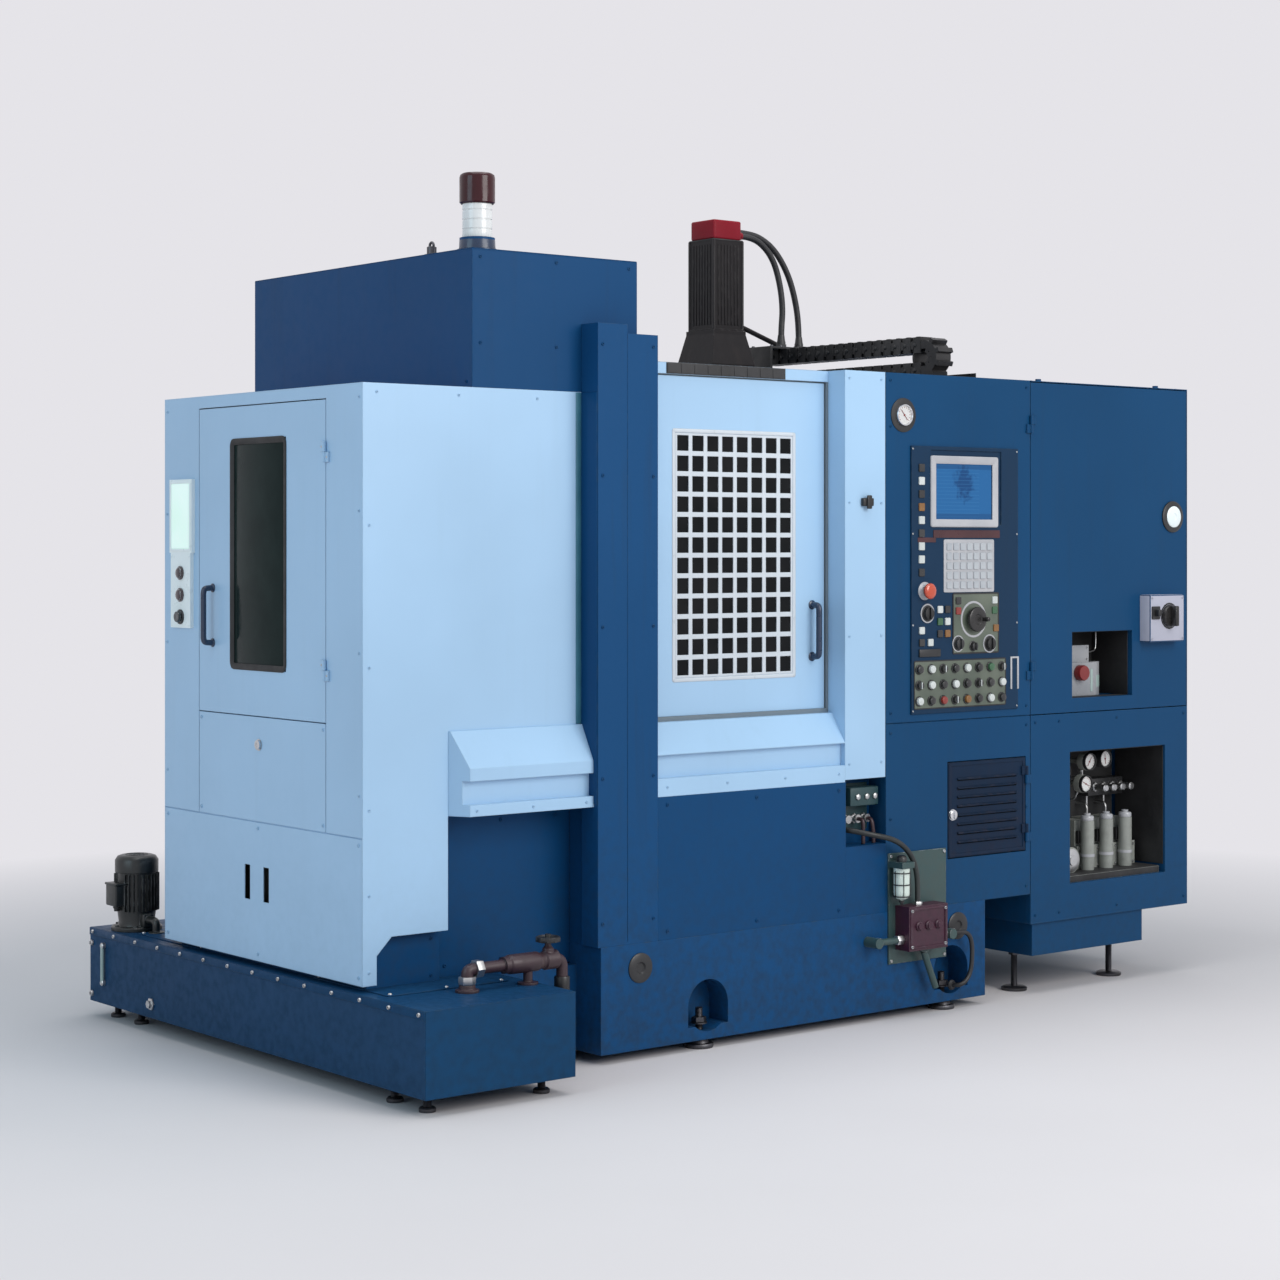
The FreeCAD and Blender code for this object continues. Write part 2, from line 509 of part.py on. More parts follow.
# Booth: side sheets with the stepped apron, front stiles, header, top sheet, floor pan and cross rails
side_points = [(s.booth_front, s.booth_low), (s.booth_front + s.apron_leg, s.booth_low),
               (s.booth_front + s.apron_leg, s.apron_low - s.apron_fillet),
               (s.booth_front + s.apron_leg + s.apron_fillet, s.apron_low),
               (s.apron_rear, s.apron_low), (s.apron_rear, s.ledge_low), (s.booth_rear, s.ledge_low),
               (s.booth_rear, s.booth_top), (s.booth_front, s.booth_top)]
right_side = padded("booth_right_sheet", "YZ_Plane", side_points, s.sheet, (inner_right, 0, 0))
left_side = padded("booth_left_sheet", "YZ_Plane", side_points, s.sheet, (booth_left, 0, 0))
front_ys = (s.booth_front, s.booth_front + s.sheet)
rail_ys = (front_ys[1], front_ys[1] + s.rail_deep)
stile_zs = (s.kick_top + s.seam, s.booth_top - s.sheet)
inner_xs = (inner_left, inner_right)
floor_ys = (front_ys[1], s.pedestal_front - s.tank_gap)
leaf_ys = (s.booth_front, s.booth_front + s.leaf_thick)
leaf_top = s.booth_top - s.leaf_head
hinge_x = s.leaf_right + s.seam / 2
hinge_y = s.booth_front - s.hinge_radius
leaf_strap_xs = (hinge_x - s.hinge_leaf, hinge_x)
frame_strap_xs = (hinge_x, hinge_x + s.hinge_leaf)
strap_ys = (hinge_y, s.booth_front)
booth_hinges = [hinge_parts("booth_hinge", hinge_x, hinge_y, z, leaf_strap_xs, strap_ys, frame_strap_xs, strap_ys)
                for z in (s.leaf_low + s.hinge_inset, leaf_top - s.hinge_inset - s.hinge_long)]
node("booth_shell",
     group("booth_shell", right_side, left_side,
           slab("left_stile", (inner_left, s.leaf_left - s.seam), front_ys, stile_zs),
           slab("right_stile", (s.leaf_right + s.seam, inner_right), front_ys, stile_zs),
           slab("header", (s.leaf_left - s.seam, s.leaf_right + s.seam), front_ys,
                (leaf_top + s.seam, stile_zs[1])),
           slab("booth_top_sheet", inner_xs, (s.booth_front, s.roof_front), (stile_zs[1], s.booth_top)),
           slab("sill_rail", inner_xs, rail_ys, (s.leaf_low - s.seam - s.rail_deep, s.leaf_low - s.seam)),
           slab("kick_rail", inner_xs, rail_ys, (s.kick_top - s.rail_deep / 2, s.kick_top + s.rail_deep / 2)),
           slab("floor_pan", inner_xs, floor_ys, (s.ledge_low, s.ledge_low + s.sheet)),
           *[lower for upper, lower in booth_hinges]))

# Two removable front panels: the service panel with its lock and the kick panel with two slots
kick = cut("kick_panel",
           slab("kick_sheet", inner_xs, front_ys, (s.booth_low, s.kick_top)),
           *[slab("kick_slot", (s.slot_left + s.slot_step * index, s.slot_left + s.slot_step * index + s.slot_wide),
                  front_ys, (s.slot_low, s.slot_top)) for index in range(2)])
service = fuse("service_panel",
               slab("service_sheet", (s.leaf_left, s.leaf_right), front_ys,
                    (s.kick_top + s.seam, s.leaf_low - s.seam)),
               rod("service_lock", "y", (s.lock_x, s.booth_front - s.hinge_radius, s.lock_z), s.lock_radius,
                   s.hinge_radius + s.sheet))
node("front_panels", group("front_panels", kick, service))

# Booth door: a folded leaf with a window opening, hung on the two upper knuckles
leaf_xs = (s.leaf_left, s.leaf_right)
leaf_zs = (s.leaf_low, leaf_top)
pane_xs = (s.pane_left, s.pane_right)
pane_zs = (s.pane_low, leaf_top - s.pane_head)
leaf_block = cut("leaf_folded",
                 slab("leaf_block", leaf_xs, leaf_ys, leaf_zs),
                 slab("leaf_space", (leaf_xs[0] + s.slide_rim, leaf_xs[1] - s.slide_rim),
                      (leaf_ys[0] + s.sheet, leaf_ys[1]), (leaf_zs[0] + s.slide_rim, leaf_zs[1] - s.slide_rim)),
                 slab("leaf_window", pane_xs, leaf_ys, pane_zs))
node("booth_door", fuse("booth_door", leaf_block, *[upper for upper, lower in booth_hinges]))

# Booth door window: dark pane behind the skin and a rubber frame round its edge
lap = s.frame_wide
pane_ys = (front_ys[1], front_ys[1] + s.pane_thick)
pane = slab("pane", (pane_xs[0] - lap, pane_xs[1] + lap), pane_ys, (pane_zs[0] - lap, pane_zs[1] + lap))
pane_frame = cut("pane_frame",
                 slab("pane_frame_block", pane_xs, (s.booth_front, front_ys[1]), pane_zs),
                 slab("pane_frame_hole", (pane_xs[0] + lap, pane_xs[1] - lap), front_ys,
                      (pane_zs[0] + lap, pane_zs[1] - lap)))
node("booth_door_window", fuse("booth_door_window", pane, pane_frame))

# Bow handle of the booth door: two legs and a grip bar
grip_y = s.booth_front - s.grip_reach + s.grip_radius
node("booth_door_handle",
     fuse("booth_door_handle",
          *[rod("grip_leg", "y", (s.grip_x, grip_y, z), s.grip_radius * 0.8, s.booth_front - grip_y)
            for z in (s.grip_low + s.grip_radius, s.grip_top - s.grip_radius)],
          rod("grip_bar", "z", (s.grip_x, grip_y, s.grip_low), s.grip_radius, s.grip_top - s.grip_low)))

# Call panel beside the door: a shallow box with two lamps, and a sprung button below them
call_ys = (s.booth_front - s.call_deep, s.booth_front)
button_zs = [s.button_z - s.button_step * index for index in range(3)]
call_plate_zs = (button_zs[2] - s.button_step / 2, s.call_top)
call_box = fuse("call_box",
                slab("call_display", (s.call_left, s.call_right), call_ys, (s.call_low, s.call_top)),
                slab("call_strip", (s.button_x - s.strip_wide / 2, s.button_x + s.strip_wide / 2), call_ys,
                     (call_plate_zs[0], s.call_low)),
                *[rod("call_lamp", "y", (s.button_x, call_ys[0] - s.button_out / 2, z), s.button_radius,
                      s.button_out / 2 + s.sheet) for z in button_zs[:2]])
button_stem = s.button_radius * 0.5
node("call_panel", cut("call_panel", call_box,
                       rod("button_bore", "y", (s.button_x, call_ys[0], button_zs[2]), button_stem + s.slip,
                           s.call_deep)))
node("call_button",
     fuse("call_button",
          rod("button_cap", "y", (s.button_x, call_ys[0] - s.button_out, button_zs[2]), s.button_radius,
              s.button_out - s.button_travel - s.slip),
          rod("button_stem", "y", (s.button_x, call_ys[0] - s.button_out / 2, button_zs[2]), button_stem,
              s.button_out / 2 + s.call_deep - s.button_travel - s.slip)))

# Shelf on the side of the booth: sloped top, recessed band and lip, tapered at its front end
shelf_points = [(0, s.ledge_low), (s.shelf_out, s.ledge_low), (s.shelf_out, s.shelf_band_low),
                (s.shelf_out - s.shelf_band_in, s.shelf_band_low), (s.shelf_out - s.shelf_band_in, s.shelf_band_top),
                (s.shelf_out, s.shelf_band_top), (s.shelf_out, s.shelf_break), (s.seam * 2, s.shelf_top),
                (0, s.shelf_top)]
shelf_long = s.booth_rear - s.apron_rear
shelf_bar = padded("shelf_bar", "XZ_Plane", shelf_points, shelf_long, (booth_right, s.apron_rear, 0), True)
shelf_trim = padded("shelf_trim", "XY_Plane",
                    [(0, 0), (s.shelf_out * 2, s.shelf_taper * 2), (s.shelf_out * 2, -s.shelf_taper),
                     (0, -s.shelf_taper)],
                    s.shelf_top - s.ledge_low, (booth_right, s.apron_rear, s.ledge_low))
node("booth_side_shelf", cut("booth_side_shelf", shelf_bar, shelf_trim))

# Dark covers: panels under the booth, skirts over the bed and the bay the hoses come out of
recess_xs = (s.centre_x - s.recess_half, s.centre_x + s.recess_half)
plinth_x = (s.centre_x - s.nose_half, s.centre_x + s.nose_half)
recess_ys = (s.apron_rear, s.bed_front)
recess_zs = (s.tank_top, s.ledge_low)
apron_ys = (s.plinth_front, s.apron_rear - s.sheet)
apron_zs = (s.tank_top, s.apron_low - s.sheet)
skirt_ys = (s.pillar_rear, s.bay_front)
skirt_zs = (s.bed_top, s.skirt_top)
bay_xs = (skin - s.bay_depth, skin - s.bay_depth + s.sheet)
left_skin = (bed_left, bed_left + s.sheet)
node("base_covers",
     group("base_covers",
           slab("recess_right", (recess_xs[1] - s.sheet, recess_xs[1]), recess_ys, recess_zs),
           slab("recess_left", (recess_xs[0], recess_xs[0] + s.sheet), recess_ys, recess_zs),
           slab("recess_front", (recess_xs[0] + s.sheet, recess_xs[1] - s.sheet),
                (recess_ys[0], recess_ys[0] + s.sheet), recess_zs),
           slab("plinth_right", (plinth_x[1] - s.sheet, plinth_x[1]), apron_ys, apron_zs),
           slab("plinth_left", (plinth_x[0], plinth_x[0] + s.sheet), apron_ys, apron_zs),
           slab("plinth_front", (plinth_x[0] + s.sheet, plinth_x[1] - s.sheet),
                (apron_ys[0], apron_ys[0] + s.sheet), apron_zs),
           slab("plinth_top", plinth_x, apron_ys, (apron_zs[1], s.apron_low)),
           slab("front_wall_right", (recess_xs[1], booth_right), (s.bed_front, s.bed_front + s.sheet),
                (s.bed_top, s.ledge_low)),
           slab("front_wall_left", (bed_left, recess_xs[0]), (s.bed_front, s.bed_front + s.sheet),
                (s.bed_top, s.ledge_low)),
           slab("skirt_right", (skin, bed_right), skirt_ys, skirt_zs),
           slab("skirt_bay", (skin, bed_right), (s.bay_front, s.skirt_rear), (s.bed_top, s.bay_low)),
           slab("bay_back", bay_xs, (s.bay_front + s.sheet, s.skirt_rear), (s.bay_low, s.post_low)),
           slab("bay_floor", (bay_xs[0], skin), (s.bay_front + s.sheet, s.skirt_rear),
                (s.bay_low - s.sheet, s.bay_low)),
           slab("bay_side", (bay_xs[0], skin), (s.bay_front, s.bay_front + s.sheet),
                (s.bed_top, s.skirt_top)),
           slab("skirt_left", left_skin, (s.bed_front + s.sheet, s.wall_rear), skirt_zs)))

# Cover over the pallet changer, standing on the booth and the side wall, with a lifting eye
roof_xs = (bed_left - s.roof_lip, booth_right)
roof_ys = (s.roof_front, s.roof_rear)
roof_zs = (s.booth_top, s.roof_top - s.sheet)
lamp_x = booth_right - s.lamp_inset
lamp_y = s.roof_front + s.lamp_inset
node("roof_cover",
     group("roof_cover",
           rod("lamp_foot", "z", (lamp_x, lamp_y, s.roof_top), s.lamp_base_radius, s.lamp_base_high),
           slab("roof_sheet", roof_xs, roof_ys, (roof_zs[1], s.roof_top)),
           slab("roof_front_sheet", roof_xs, (roof_ys[0], roof_ys[0] + s.sheet), roof_zs),
           slab("roof_right_sheet", (roof_xs[1] - s.sheet, roof_xs[1]),
                (roof_ys[0] + s.sheet, roof_ys[1] - s.sheet), roof_zs),
           slab("roof_left_sheet", (roof_xs[0], roof_xs[0] + s.sheet),
                (roof_ys[0] + s.sheet, roof_ys[1] - s.sheet), roof_zs),
           slab("roof_lap", (roof_xs[0] + s.sheet, inner_left), (roof_ys[0] + s.sheet, s.booth_rear),
                (s.booth_top, s.booth_top + s.sheet)),
           slab("roof_rear_sheet", roof_xs, (roof_ys[1] - s.sheet, roof_ys[1]), (s.room_top, roof_zs[1])),
           rod("lifting_eye", "z", (s.eye_x, s.roof_front + s.eye_radius * 2, s.roof_top), s.eye_radius,
               s.eye_high)))

# Signal lamp on its foot: white ring and dark red lens
ring_z = s.roof_top + s.lamp_base_high
lens_z = ring_z + s.lamp_ring_high
node("lamp_ring", rod("lamp_ring", "z", (lamp_x, lamp_y, ring_z), s.lamp_ring_radius, s.lamp_ring_high))
lens_points = [(0, 0), (s.lamp_lens_radius, 0), (s.lamp_lens_radius, s.lamp_lens_high - s.lens_round),
               (s.lamp_lens_radius - s.lens_round, s.lamp_lens_high), (0, s.lamp_lens_high)]
node("lamp_lens", turned("lamp_lens", "z", lens_points, (lamp_x, lamp_y, lens_z)))

# Pillar beside the booth: a tall folded cover, its rear part a little lower
pillar_xs = (booth_right, bed_right)
pillar_ys = (s.booth_rear, s.pillar_rear)
pillar_split = s.booth_rear + s.pillar_front_wide
pillar_low = s.bed_top
pillar_outer = fuse("pillar_outer",
                    slab("pillar_front", pillar_xs, (pillar_ys[0], pillar_split), (pillar_low, s.pillar_top)),
                    slab("pillar_back", pillar_xs, pillar_ys, (pillar_low, s.pillar_top - s.pillar_step)))
node("pillar_cover",
     cut("pillar_cover", pillar_outer,
         slab("pillar_space", (pillar_xs[0] + s.sheet, pillar_xs[1] - s.sheet),
              (pillar_ys[0] + s.sheet, pillar_ys[1] - s.sheet),
              (pillar_low, s.pillar_top - s.pillar_step - s.sheet))))

# Work room: left wall with the tool-change slot, roof, door track, sill, jambs and the changer's gearbox
swap_z = s.head_z
swap_x = s.column_x - s.swap_reach
left_wall = cut("left_wall",
                slab("left_wall_sheet", left_skin, (s.bed_front, s.wall_rear), (s.skirt_top, s.room_top)),
                slab("swap_slot", left_skin, (s.swap_slot_front, s.swap_slot_rear),
                     (swap_z - s.swap_reach - s.swap_tip - s.skin_gap,
                      swap_z + s.swap_reach + s.swap_tip + s.skin_gap)))
room_roof_ys = (s.roof_rear - s.sheet, s.room_rear)
track_xs = (door_inner + s.track_inset, door_outer - s.track_inset)
track_zs = (s.slide_top + s.slip, s.slide_top + s.slip + s.track_high)
roof_z = s.room_top - s.sheet
sill_z = s.slide_low - s.slip
sill_zs = (sill_z - s.sill_high, sill_z)
gearbox = cut("changer_gearbox",
              slab("gear_block", (left_skin[1], swap_x + s.gear_over),
                   (s.swap_front + s.swap_thick + s.skin_gap, s.gear_rear),
                   (swap_z - s.gear_high / 2, swap_z + s.gear_high / 2)),
              rod("gear_bore", "y", (swap_x, s.swap_front, swap_z), s.swap_shaft + s.slip,
                  s.gear_rear - s.swap_front - s.jamb))
node("enclosure",
     group("enclosure", left_wall, gearbox,
           slab("room_roof", (bed_left + s.sheet, booth_right), room_roof_ys, (roof_z, s.room_top)),
           slab("room_header", (inner_right, booth_right), (s.pillar_rear, s.housing_front - s.seam),
                (s.slide_top + s.seam, roof_z)),
           slab("door_track", track_xs, (s.track_front, s.slide_rear), (track_zs[0], roof_z)),
           slab("sill_rear", (door_inner, booth_right), (s.bed_front + s.sheet, s.post_front - s.jamb), sill_zs),
           slab("sill_front", (door_inner, inner_right), (s.track_front, s.bed_front + s.sheet), sill_zs),
           slab("corner_post", (bed_left, inner_left), (s.booth_rear, s.bed_front), (s.ledge_low, s.room_top)),
           slab("inner_wall", (door_inner, door_inner + s.sheet), (s.bed_front + s.sheet, s.slide_rear),
                (s.bed_top, sill_zs[0])),
           slab("rear_jamb", (door_inner, booth_right), (s.post_front - s.jamb, s.post_front),
                (sill_zs[0], s.slide_top + s.seam)),
           slab("front_jamb", (inner_right - s.seam, booth_right), (s.pillar_rear, s.pillar_rear + s.jamb_front_wide),
                (sill_z, s.slide_top + s.seam)),
           slab("rear_guard", (bed_left, s.cabinet_left), (s.wall_rear, s.wall_rear + s.sheet),
                (s.bed_top, s.room_top))))

# Sliding door: folded leaf with a window opening
slide_xs = (door_inner, door_outer)
slide_ys = (s.slide_front, s.slide_rear)
slide_zs = (s.slide_low, s.slide_top)
glass_ys = (s.glass_front, s.glass_rear)
glass_zs = (s.glass_low, s.glass_top)
node("side_door",
     cut("side_door",
         slab("slide_block", slide_xs, slide_ys, slide_zs),
         slab("slide_space", (slide_xs[0], slide_xs[1] - s.sheet),
              (slide_ys[0] + s.slide_rim, slide_ys[1] - s.slide_rim),
              (slide_zs[0] + s.slide_rim, slide_zs[1] - s.slide_rim)),
         slab("slide_window", slide_xs, glass_ys, glass_zs)))
node("side_door_window",
     slab("side_door_window", (door_outer - s.sheet - s.pane_thick, door_outer - s.sheet),
          (glass_ys[0] - s.glass_lap, glass_ys[1] + s.glass_lap),
          (glass_zs[0] - s.glass_lap, glass_zs[1] + s.glass_lap)))

# Grille in the door's window: a plate with rows of square holes
grille_xs = (door_outer - s.sheet, door_outer)
cell_wide = (s.glass_rear - s.glass_front) / s.grille_columns
cell_high = (s.glass_top - s.glass_low) / s.grille_rows
holes = []
for column in range(s.grille_columns.number):
    for level in range(s.grille_rows.number):
        hole_y = s.glass_front + cell_wide * column + s.grille_bar / 2
        hole_z = s.glass_low + cell_high * level + s.grille_bar / 2
        holes.append(slab("grille_hole", grille_xs, (hole_y, hole_y + cell_wide - s.grille_bar),
                          (hole_z, hole_z + cell_high - s.grille_bar)))
node("side_door_grille", cut("side_door_grille", slab("grille_plate", grille_xs, glass_ys, glass_zs), *holes))

# Bow handle of the sliding door
pull_x = door_outer + s.pull_reach - s.pull_radius
node("side_door_handle",
     fuse("side_door_handle",
          *[rod("pull_leg", "x", (door_outer, s.pull_y, z), s.pull_radius * 0.8, pull_x - door_outer)
            for z in (s.pull_low + s.pull_radius, s.pull_top - s.pull_radius)],
          rod("pull_bar", "z", (pull_x, s.pull_y, s.pull_low), s.pull_radius, s.pull_top - s.pull_low)))

# Shelf under the sliding door: sloped top, recessed band and lip
step_out = bed_right - booth_right
step_points = [(0, s.step_low), (step_out, s.step_low), (step_out, s.step_lip),
               (step_out - s.step_in, s.step_lip), (step_out - s.step_in, s.step_band - s.seam),
               (step_out, s.step_band - s.seam), (step_out, s.step_band),
               (step_out - s.step_slope, s.step_top), (0, s.step_top)]
node("door_shelf", padded("door_shelf", "XZ_Plane", step_points, s.post_front - s.pillar_rear,
                          (booth_right, s.pillar_rear, 0), True))

# Post beside the door: a folded light cover with a small catch on it
post_xs = (booth_right, bed_right)
post_ys = (s.post_front, s.post_rear)
post_zs = (s.post_low, s.room_top)
post_shell = cut("post_shell",
                 slab("post_block", post_xs, post_ys, post_zs),
                 slab("post_space", (post_xs[0], post_xs[1] - s.sheet), (post_ys[0] + s.sheet, post_ys[1] - s.sheet),
                      (post_zs[0], post_zs[1] - s.sheet)))
node("post_panel",
     fuse("post_panel", post_shell,
          slab("post_catch", (bed_right - s.sheet, bed_right + s.catch_out),
               (s.catch_y - s.catch_wide / 2, s.catch_y + s.catch_wide / 2),
               (s.catch_z - s.catch_high / 2, s.catch_z + s.catch_high / 2))))

# Control housing: a shallow cupboard beside the column, its side face in two sheets
housing_xs = (bed_right - s.housing_deep, bed_right)
housing_ys = (s.housing_front, s.housing_rear)
face_xs = (skin, bed_right)
panel_ys = (s.panel_front, s.panel_rear)
panel_zs = (s.panel_low, s.panel_top)
vent_ys = (s.vent_front, s.vent_rear)
vent_zs = (s.vent_low, s.vent_top)
inside_xs = (housing_xs[0] + s.sheet, skin)
hinge_out = bed_right + s.hinge_radius
vent_hinge_y = s.vent_rear + s.seam / 2
vent_strap_xs = (bed_right, hinge_out)
vent_hinges = [hinge_parts("vent_hinge", hinge_out, vent_hinge_y, z, vent_strap_xs,
                           (vent_hinge_y - s.hinge_leaf, vent_hinge_y), vent_strap_xs,
                           (vent_hinge_y, vent_hinge_y + s.hinge_leaf))
               for z in (s.vent_low + s.rail_deep, s.vent_top - s.rail_deep - s.hinge_long)]
power_low = s.split_z + s.seam
power_hinge_y = s.housing_rear + s.seam / 2
power_hinges = [hinge_parts("power_hinge", hinge_out, power_hinge_y, z, vent_strap_xs,
                            (power_hinge_y, power_hinge_y + s.hinge_leaf), vent_strap_xs,
                            (power_hinge_y - s.hinge_leaf, power_hinge_y))
                for z in (power_low + s.hinge_inset, s.room_top - s.hinge_inset - s.hinge_long)]
upper_face = cut("upper_face",
                 slab("upper_face_sheet", face_xs, (housing_ys[0], housing_ys[1]), (power_low, s.room_top - s.sheet)),
                 slab("panel_hole", face_xs, panel_ys, panel_zs))
lower_face = cut("lower_face",
                 slab("lower_face_sheet", face_xs, (housing_ys[0], housing_ys[1]), (s.bed_top + s.sheet, s.split_z)),
                 slab("vent_hole", face_xs, (vent_ys[0] - s.seam, vent_ys[1] + s.seam),
                      (vent_zs[0] - s.seam, vent_zs[1] + s.seam)))
node("control_housing",
     group("control_housing", upper_face, lower_face,
           slab("housing_top", housing_xs, housing_ys, (s.room_top - s.sheet, s.room_top)),
           slab("housing_floor", housing_xs, housing_ys, (s.bed_top, s.bed_top + s.sheet)),
           slab("housing_inner", (housing_xs[0], housing_xs[0] + s.sheet), housing_ys,
                (s.bed_top + s.sheet, s.room_top - s.sheet)),
           slab("housing_front_wall", inside_xs, (housing_ys[0], housing_ys[0] + s.sheet),
                (s.bed_top + s.sheet, s.room_top - s.sheet)),
           slab("housing_shelf", inside_xs, (housing_ys[0] + s.sheet, housing_ys[1]), (s.split_z, power_low)),
           *[lower for upper, lower in vent_hinges + power_hinges]))

# Operator panel: a box let into the housing with a flange over its edge and a sunk bezel
panel_face = bed_right + s.panel_proud
bore_xs = (panel_face - s.stem_deep, s.stem_deep)
panel_body = fuse("panel_body",
                  slab("panel_box", (bed_right - s.panel_deep, bed_right), panel_ys, panel_zs),
                  slab("panel_flange", (bed_right, panel_face),
                       (panel_ys[0] - s.panel_lap, panel_ys[1] + s.panel_lap),
                       (panel_zs[0] - s.panel_lap, panel_zs[1] + s.panel_lap)))
node("control_panel",
     cut("control_panel", panel_body,
         slab("bezel", (panel_face - s.bezel_deep, panel_face), (s.bezel_front, s.bezel_rear),
              (s.bezel_low, s.bezel_top)),
         rod("stop_bore", "x", (bore_xs[0], s.stop_y, s.stop_z), s.stem_radius + s.slip, bore_xs[1]),
         rod("wheel_bore", "x", (bore_xs[0], s.wheel_y, s.wheel_z), s.stem_radius + s.slip, bore_xs[1])))
node("control_screen",
     slab("control_screen", (panel_face - s.bezel_deep, panel_face - s.slip), (s.screen_front, s.screen_rear),
          (s.screen_low, s.screen_top)))

# Keys on the panel: a column of soft keys, a keyboard and rows of round switches
keys = []
key_xs = (panel_face, panel_face + s.key_out)
for index in range(s.soft_count.number):
    key_z = s.soft_low + s.soft_step * index
    keys.append(slab("soft_key", key_xs, (s.soft_y, s.soft_y + s.soft_key), (key_z, key_z + s.soft_key)))
for column in range(s.key_columns.number):
    for level in range(s.key_rows.number):
        key_y = s.key_front + s.key_step * column
        key_z = s.key_low + s.key_step * level
        keys.append(slab("letter_key", key_xs, (key_y, key_y + s.key_size), (key_z, key_z + s.key_size)))
for column in range(s.row_columns.number):
    for level in range(s.row_rows.number):
        keys.append(rod("round_switch", "x",
                        (panel_face, s.row_front + s.row_step * column, s.row_low + s.row_rise * level),
                        s.row_radius, s.row_out))
node("control_keys", group("control_keys", *keys))

# Emergency stop: a mushroom head that is pressed in along -X
stop_place = (s.stop_y, s.stop_z)
stop_x = panel_face + s.stop_out - s.stop_cap
stop_stem_x = panel_face - s.stem_deep + s.stop_travel + s.slip
node("emergency_stop",
     fuse("emergency_stop",
          rod("stop_head", "x", (stop_x, *stop_place), s.stop_radius, s.stop_cap),
          rod("stop_stem", "x", (stop_stem_x, *stop_place), s.stem_radius, stop_x - stop_stem_x)))

# Hand wheel with its crank, turning in a bore of the panel
wheel_place = (s.wheel_y, s.wheel_z)
wheel_x = panel_face + s.wheel_out
wheel_stem_x = panel_face - s.stem_deep + s.slip
node("hand_wheel",
     fuse("hand_wheel",
          rod("wheel_disc", "x", (wheel_x, *wheel_place), s.wheel_radius, s.wheel_thick),
          rod("wheel_stem", "x", (wheel_stem_x, *wheel_place), s.stem_radius, wheel_x - wheel_stem_x),
          rod("wheel_crank", "x", (wheel_x, s.wheel_y + s.crank_reach, s.wheel_z), s.crank_radius,
              s.wheel_thick + s.crank_long)))

# Louvred service door with its turning latch, hung on the two upper knuckles
vent_xs = (bed_right - s.vent_thick, bed_right)
vent_rows = int((s.vent_top.number - s.vent_low.number - 2 * s.vent_margin.number) / s.vent_step.number)
vent_slots = [slab("vent_slot", vent_xs, (vent_ys[0] + s.vent_margin, vent_ys[1] - s.vent_margin),
                   (s.vent_low + s.vent_margin + s.vent_step * index,
                    s.vent_low + s.vent_margin + s.vent_step * index + s.vent_slot))
              for index in range(vent_rows + 1)]
vent_leaf = cut("vent_leaf", slab("vent_block", vent_xs, vent_ys, vent_zs),
                slab("vent_space", (vent_xs[0], skin), (vent_ys[0] + s.vent_thick, vent_ys[1] - s.vent_thick),
                     (vent_zs[0] + s.vent_thick, vent_zs[1] - s.vent_thick)), *vent_slots)
node("louvre_door",
     fuse("louvre_door", vent_leaf,
          rod("vent_latch", "x", (skin, s.vent_latch_y, s.vent_latch_z), s.vent_latch_radius,
              s.sheet + s.hinge_radius),
          *[upper for upper, lower in vent_hinges]))

# Rear electrical cabinet: sheets, two niches built of plates, plinth and the cooler's hood at the back
case_xs = (s.cabinet_left, cabinet_right)
case_ys = (s.housing_rear + s.seam, s.cabinet_rear)
case_zs = (s.cabinet_low, s.room_top)
side_zs = (case_zs[0] + s.sheet, case_zs[1] - s.sheet)
inner_case_ys = (case_ys[0] + s.sheet, case_ys[1] - s.sheet)


def niche(name, ys, zs, face, deep):
    """Five plates round a recess whose mouth lies in the given plane."""
    back = face - deep
    return [slab(name + "_back", (back - s.sheet, back), (ys[0] - s.sheet, ys[1] + s.sheet),
                 (zs[0] - s.sheet, zs[1] + s.sheet)),
            slab(name + "_floor", (back, face), (ys[0] - s.sheet, ys[1] + s.sheet), (zs[0] - s.sheet, zs[0])),
            slab(name + "_top", (back, face), (ys[0] - s.sheet, ys[1] + s.sheet), (zs[1], zs[1] + s.sheet)),
            slab(name + "_front", (back, face), (ys[0] - s.sheet, ys[0]), zs),
            slab(name + "_rear", (back, face), (ys[1], ys[1] + s.sheet), zs)]


power_xs = (cabinet_right - s.power_thick, cabinet_right)
power_ys = (case_ys[0], case_ys[1] - s.sheet - s.seam)
power_zs = (power_low, side_zs[1] - s.seam)
niche_ys = (s.niche_front, s.niche_rear)
niche_zs = (s.niche_low, s.niche_top)
oiler_ys = (s.oiler_front, s.oiler_rear)
oiler_zs = (s.oiler_low, s.oiler_top)
lower_side = cut("lower_side",
                 slab("lower_side_sheet", face_xs, (case_ys[0], inner_case_ys[1]), (side_zs[0], s.split_z)),
                 slab("niche_hole", face_xs, niche_ys, niche_zs))
plinth = cut("plinth",
             slab("plinth_block", plinth_xs, plinth_ys, (s.plinth_low, s.cabinet_low)),
             slab("plinth_space", (plinth_xs[0] + s.sheet, plinth_xs[1] - s.sheet),
                  (plinth_ys[0] + s.sheet, plinth_ys[1] - s.sheet), (s.plinth_low + s.sheet, s.cabinet_low)))
cooler_xs = (s.cabinet_left + s.cooler_inset, cabinet_right - s.cooler_inset)
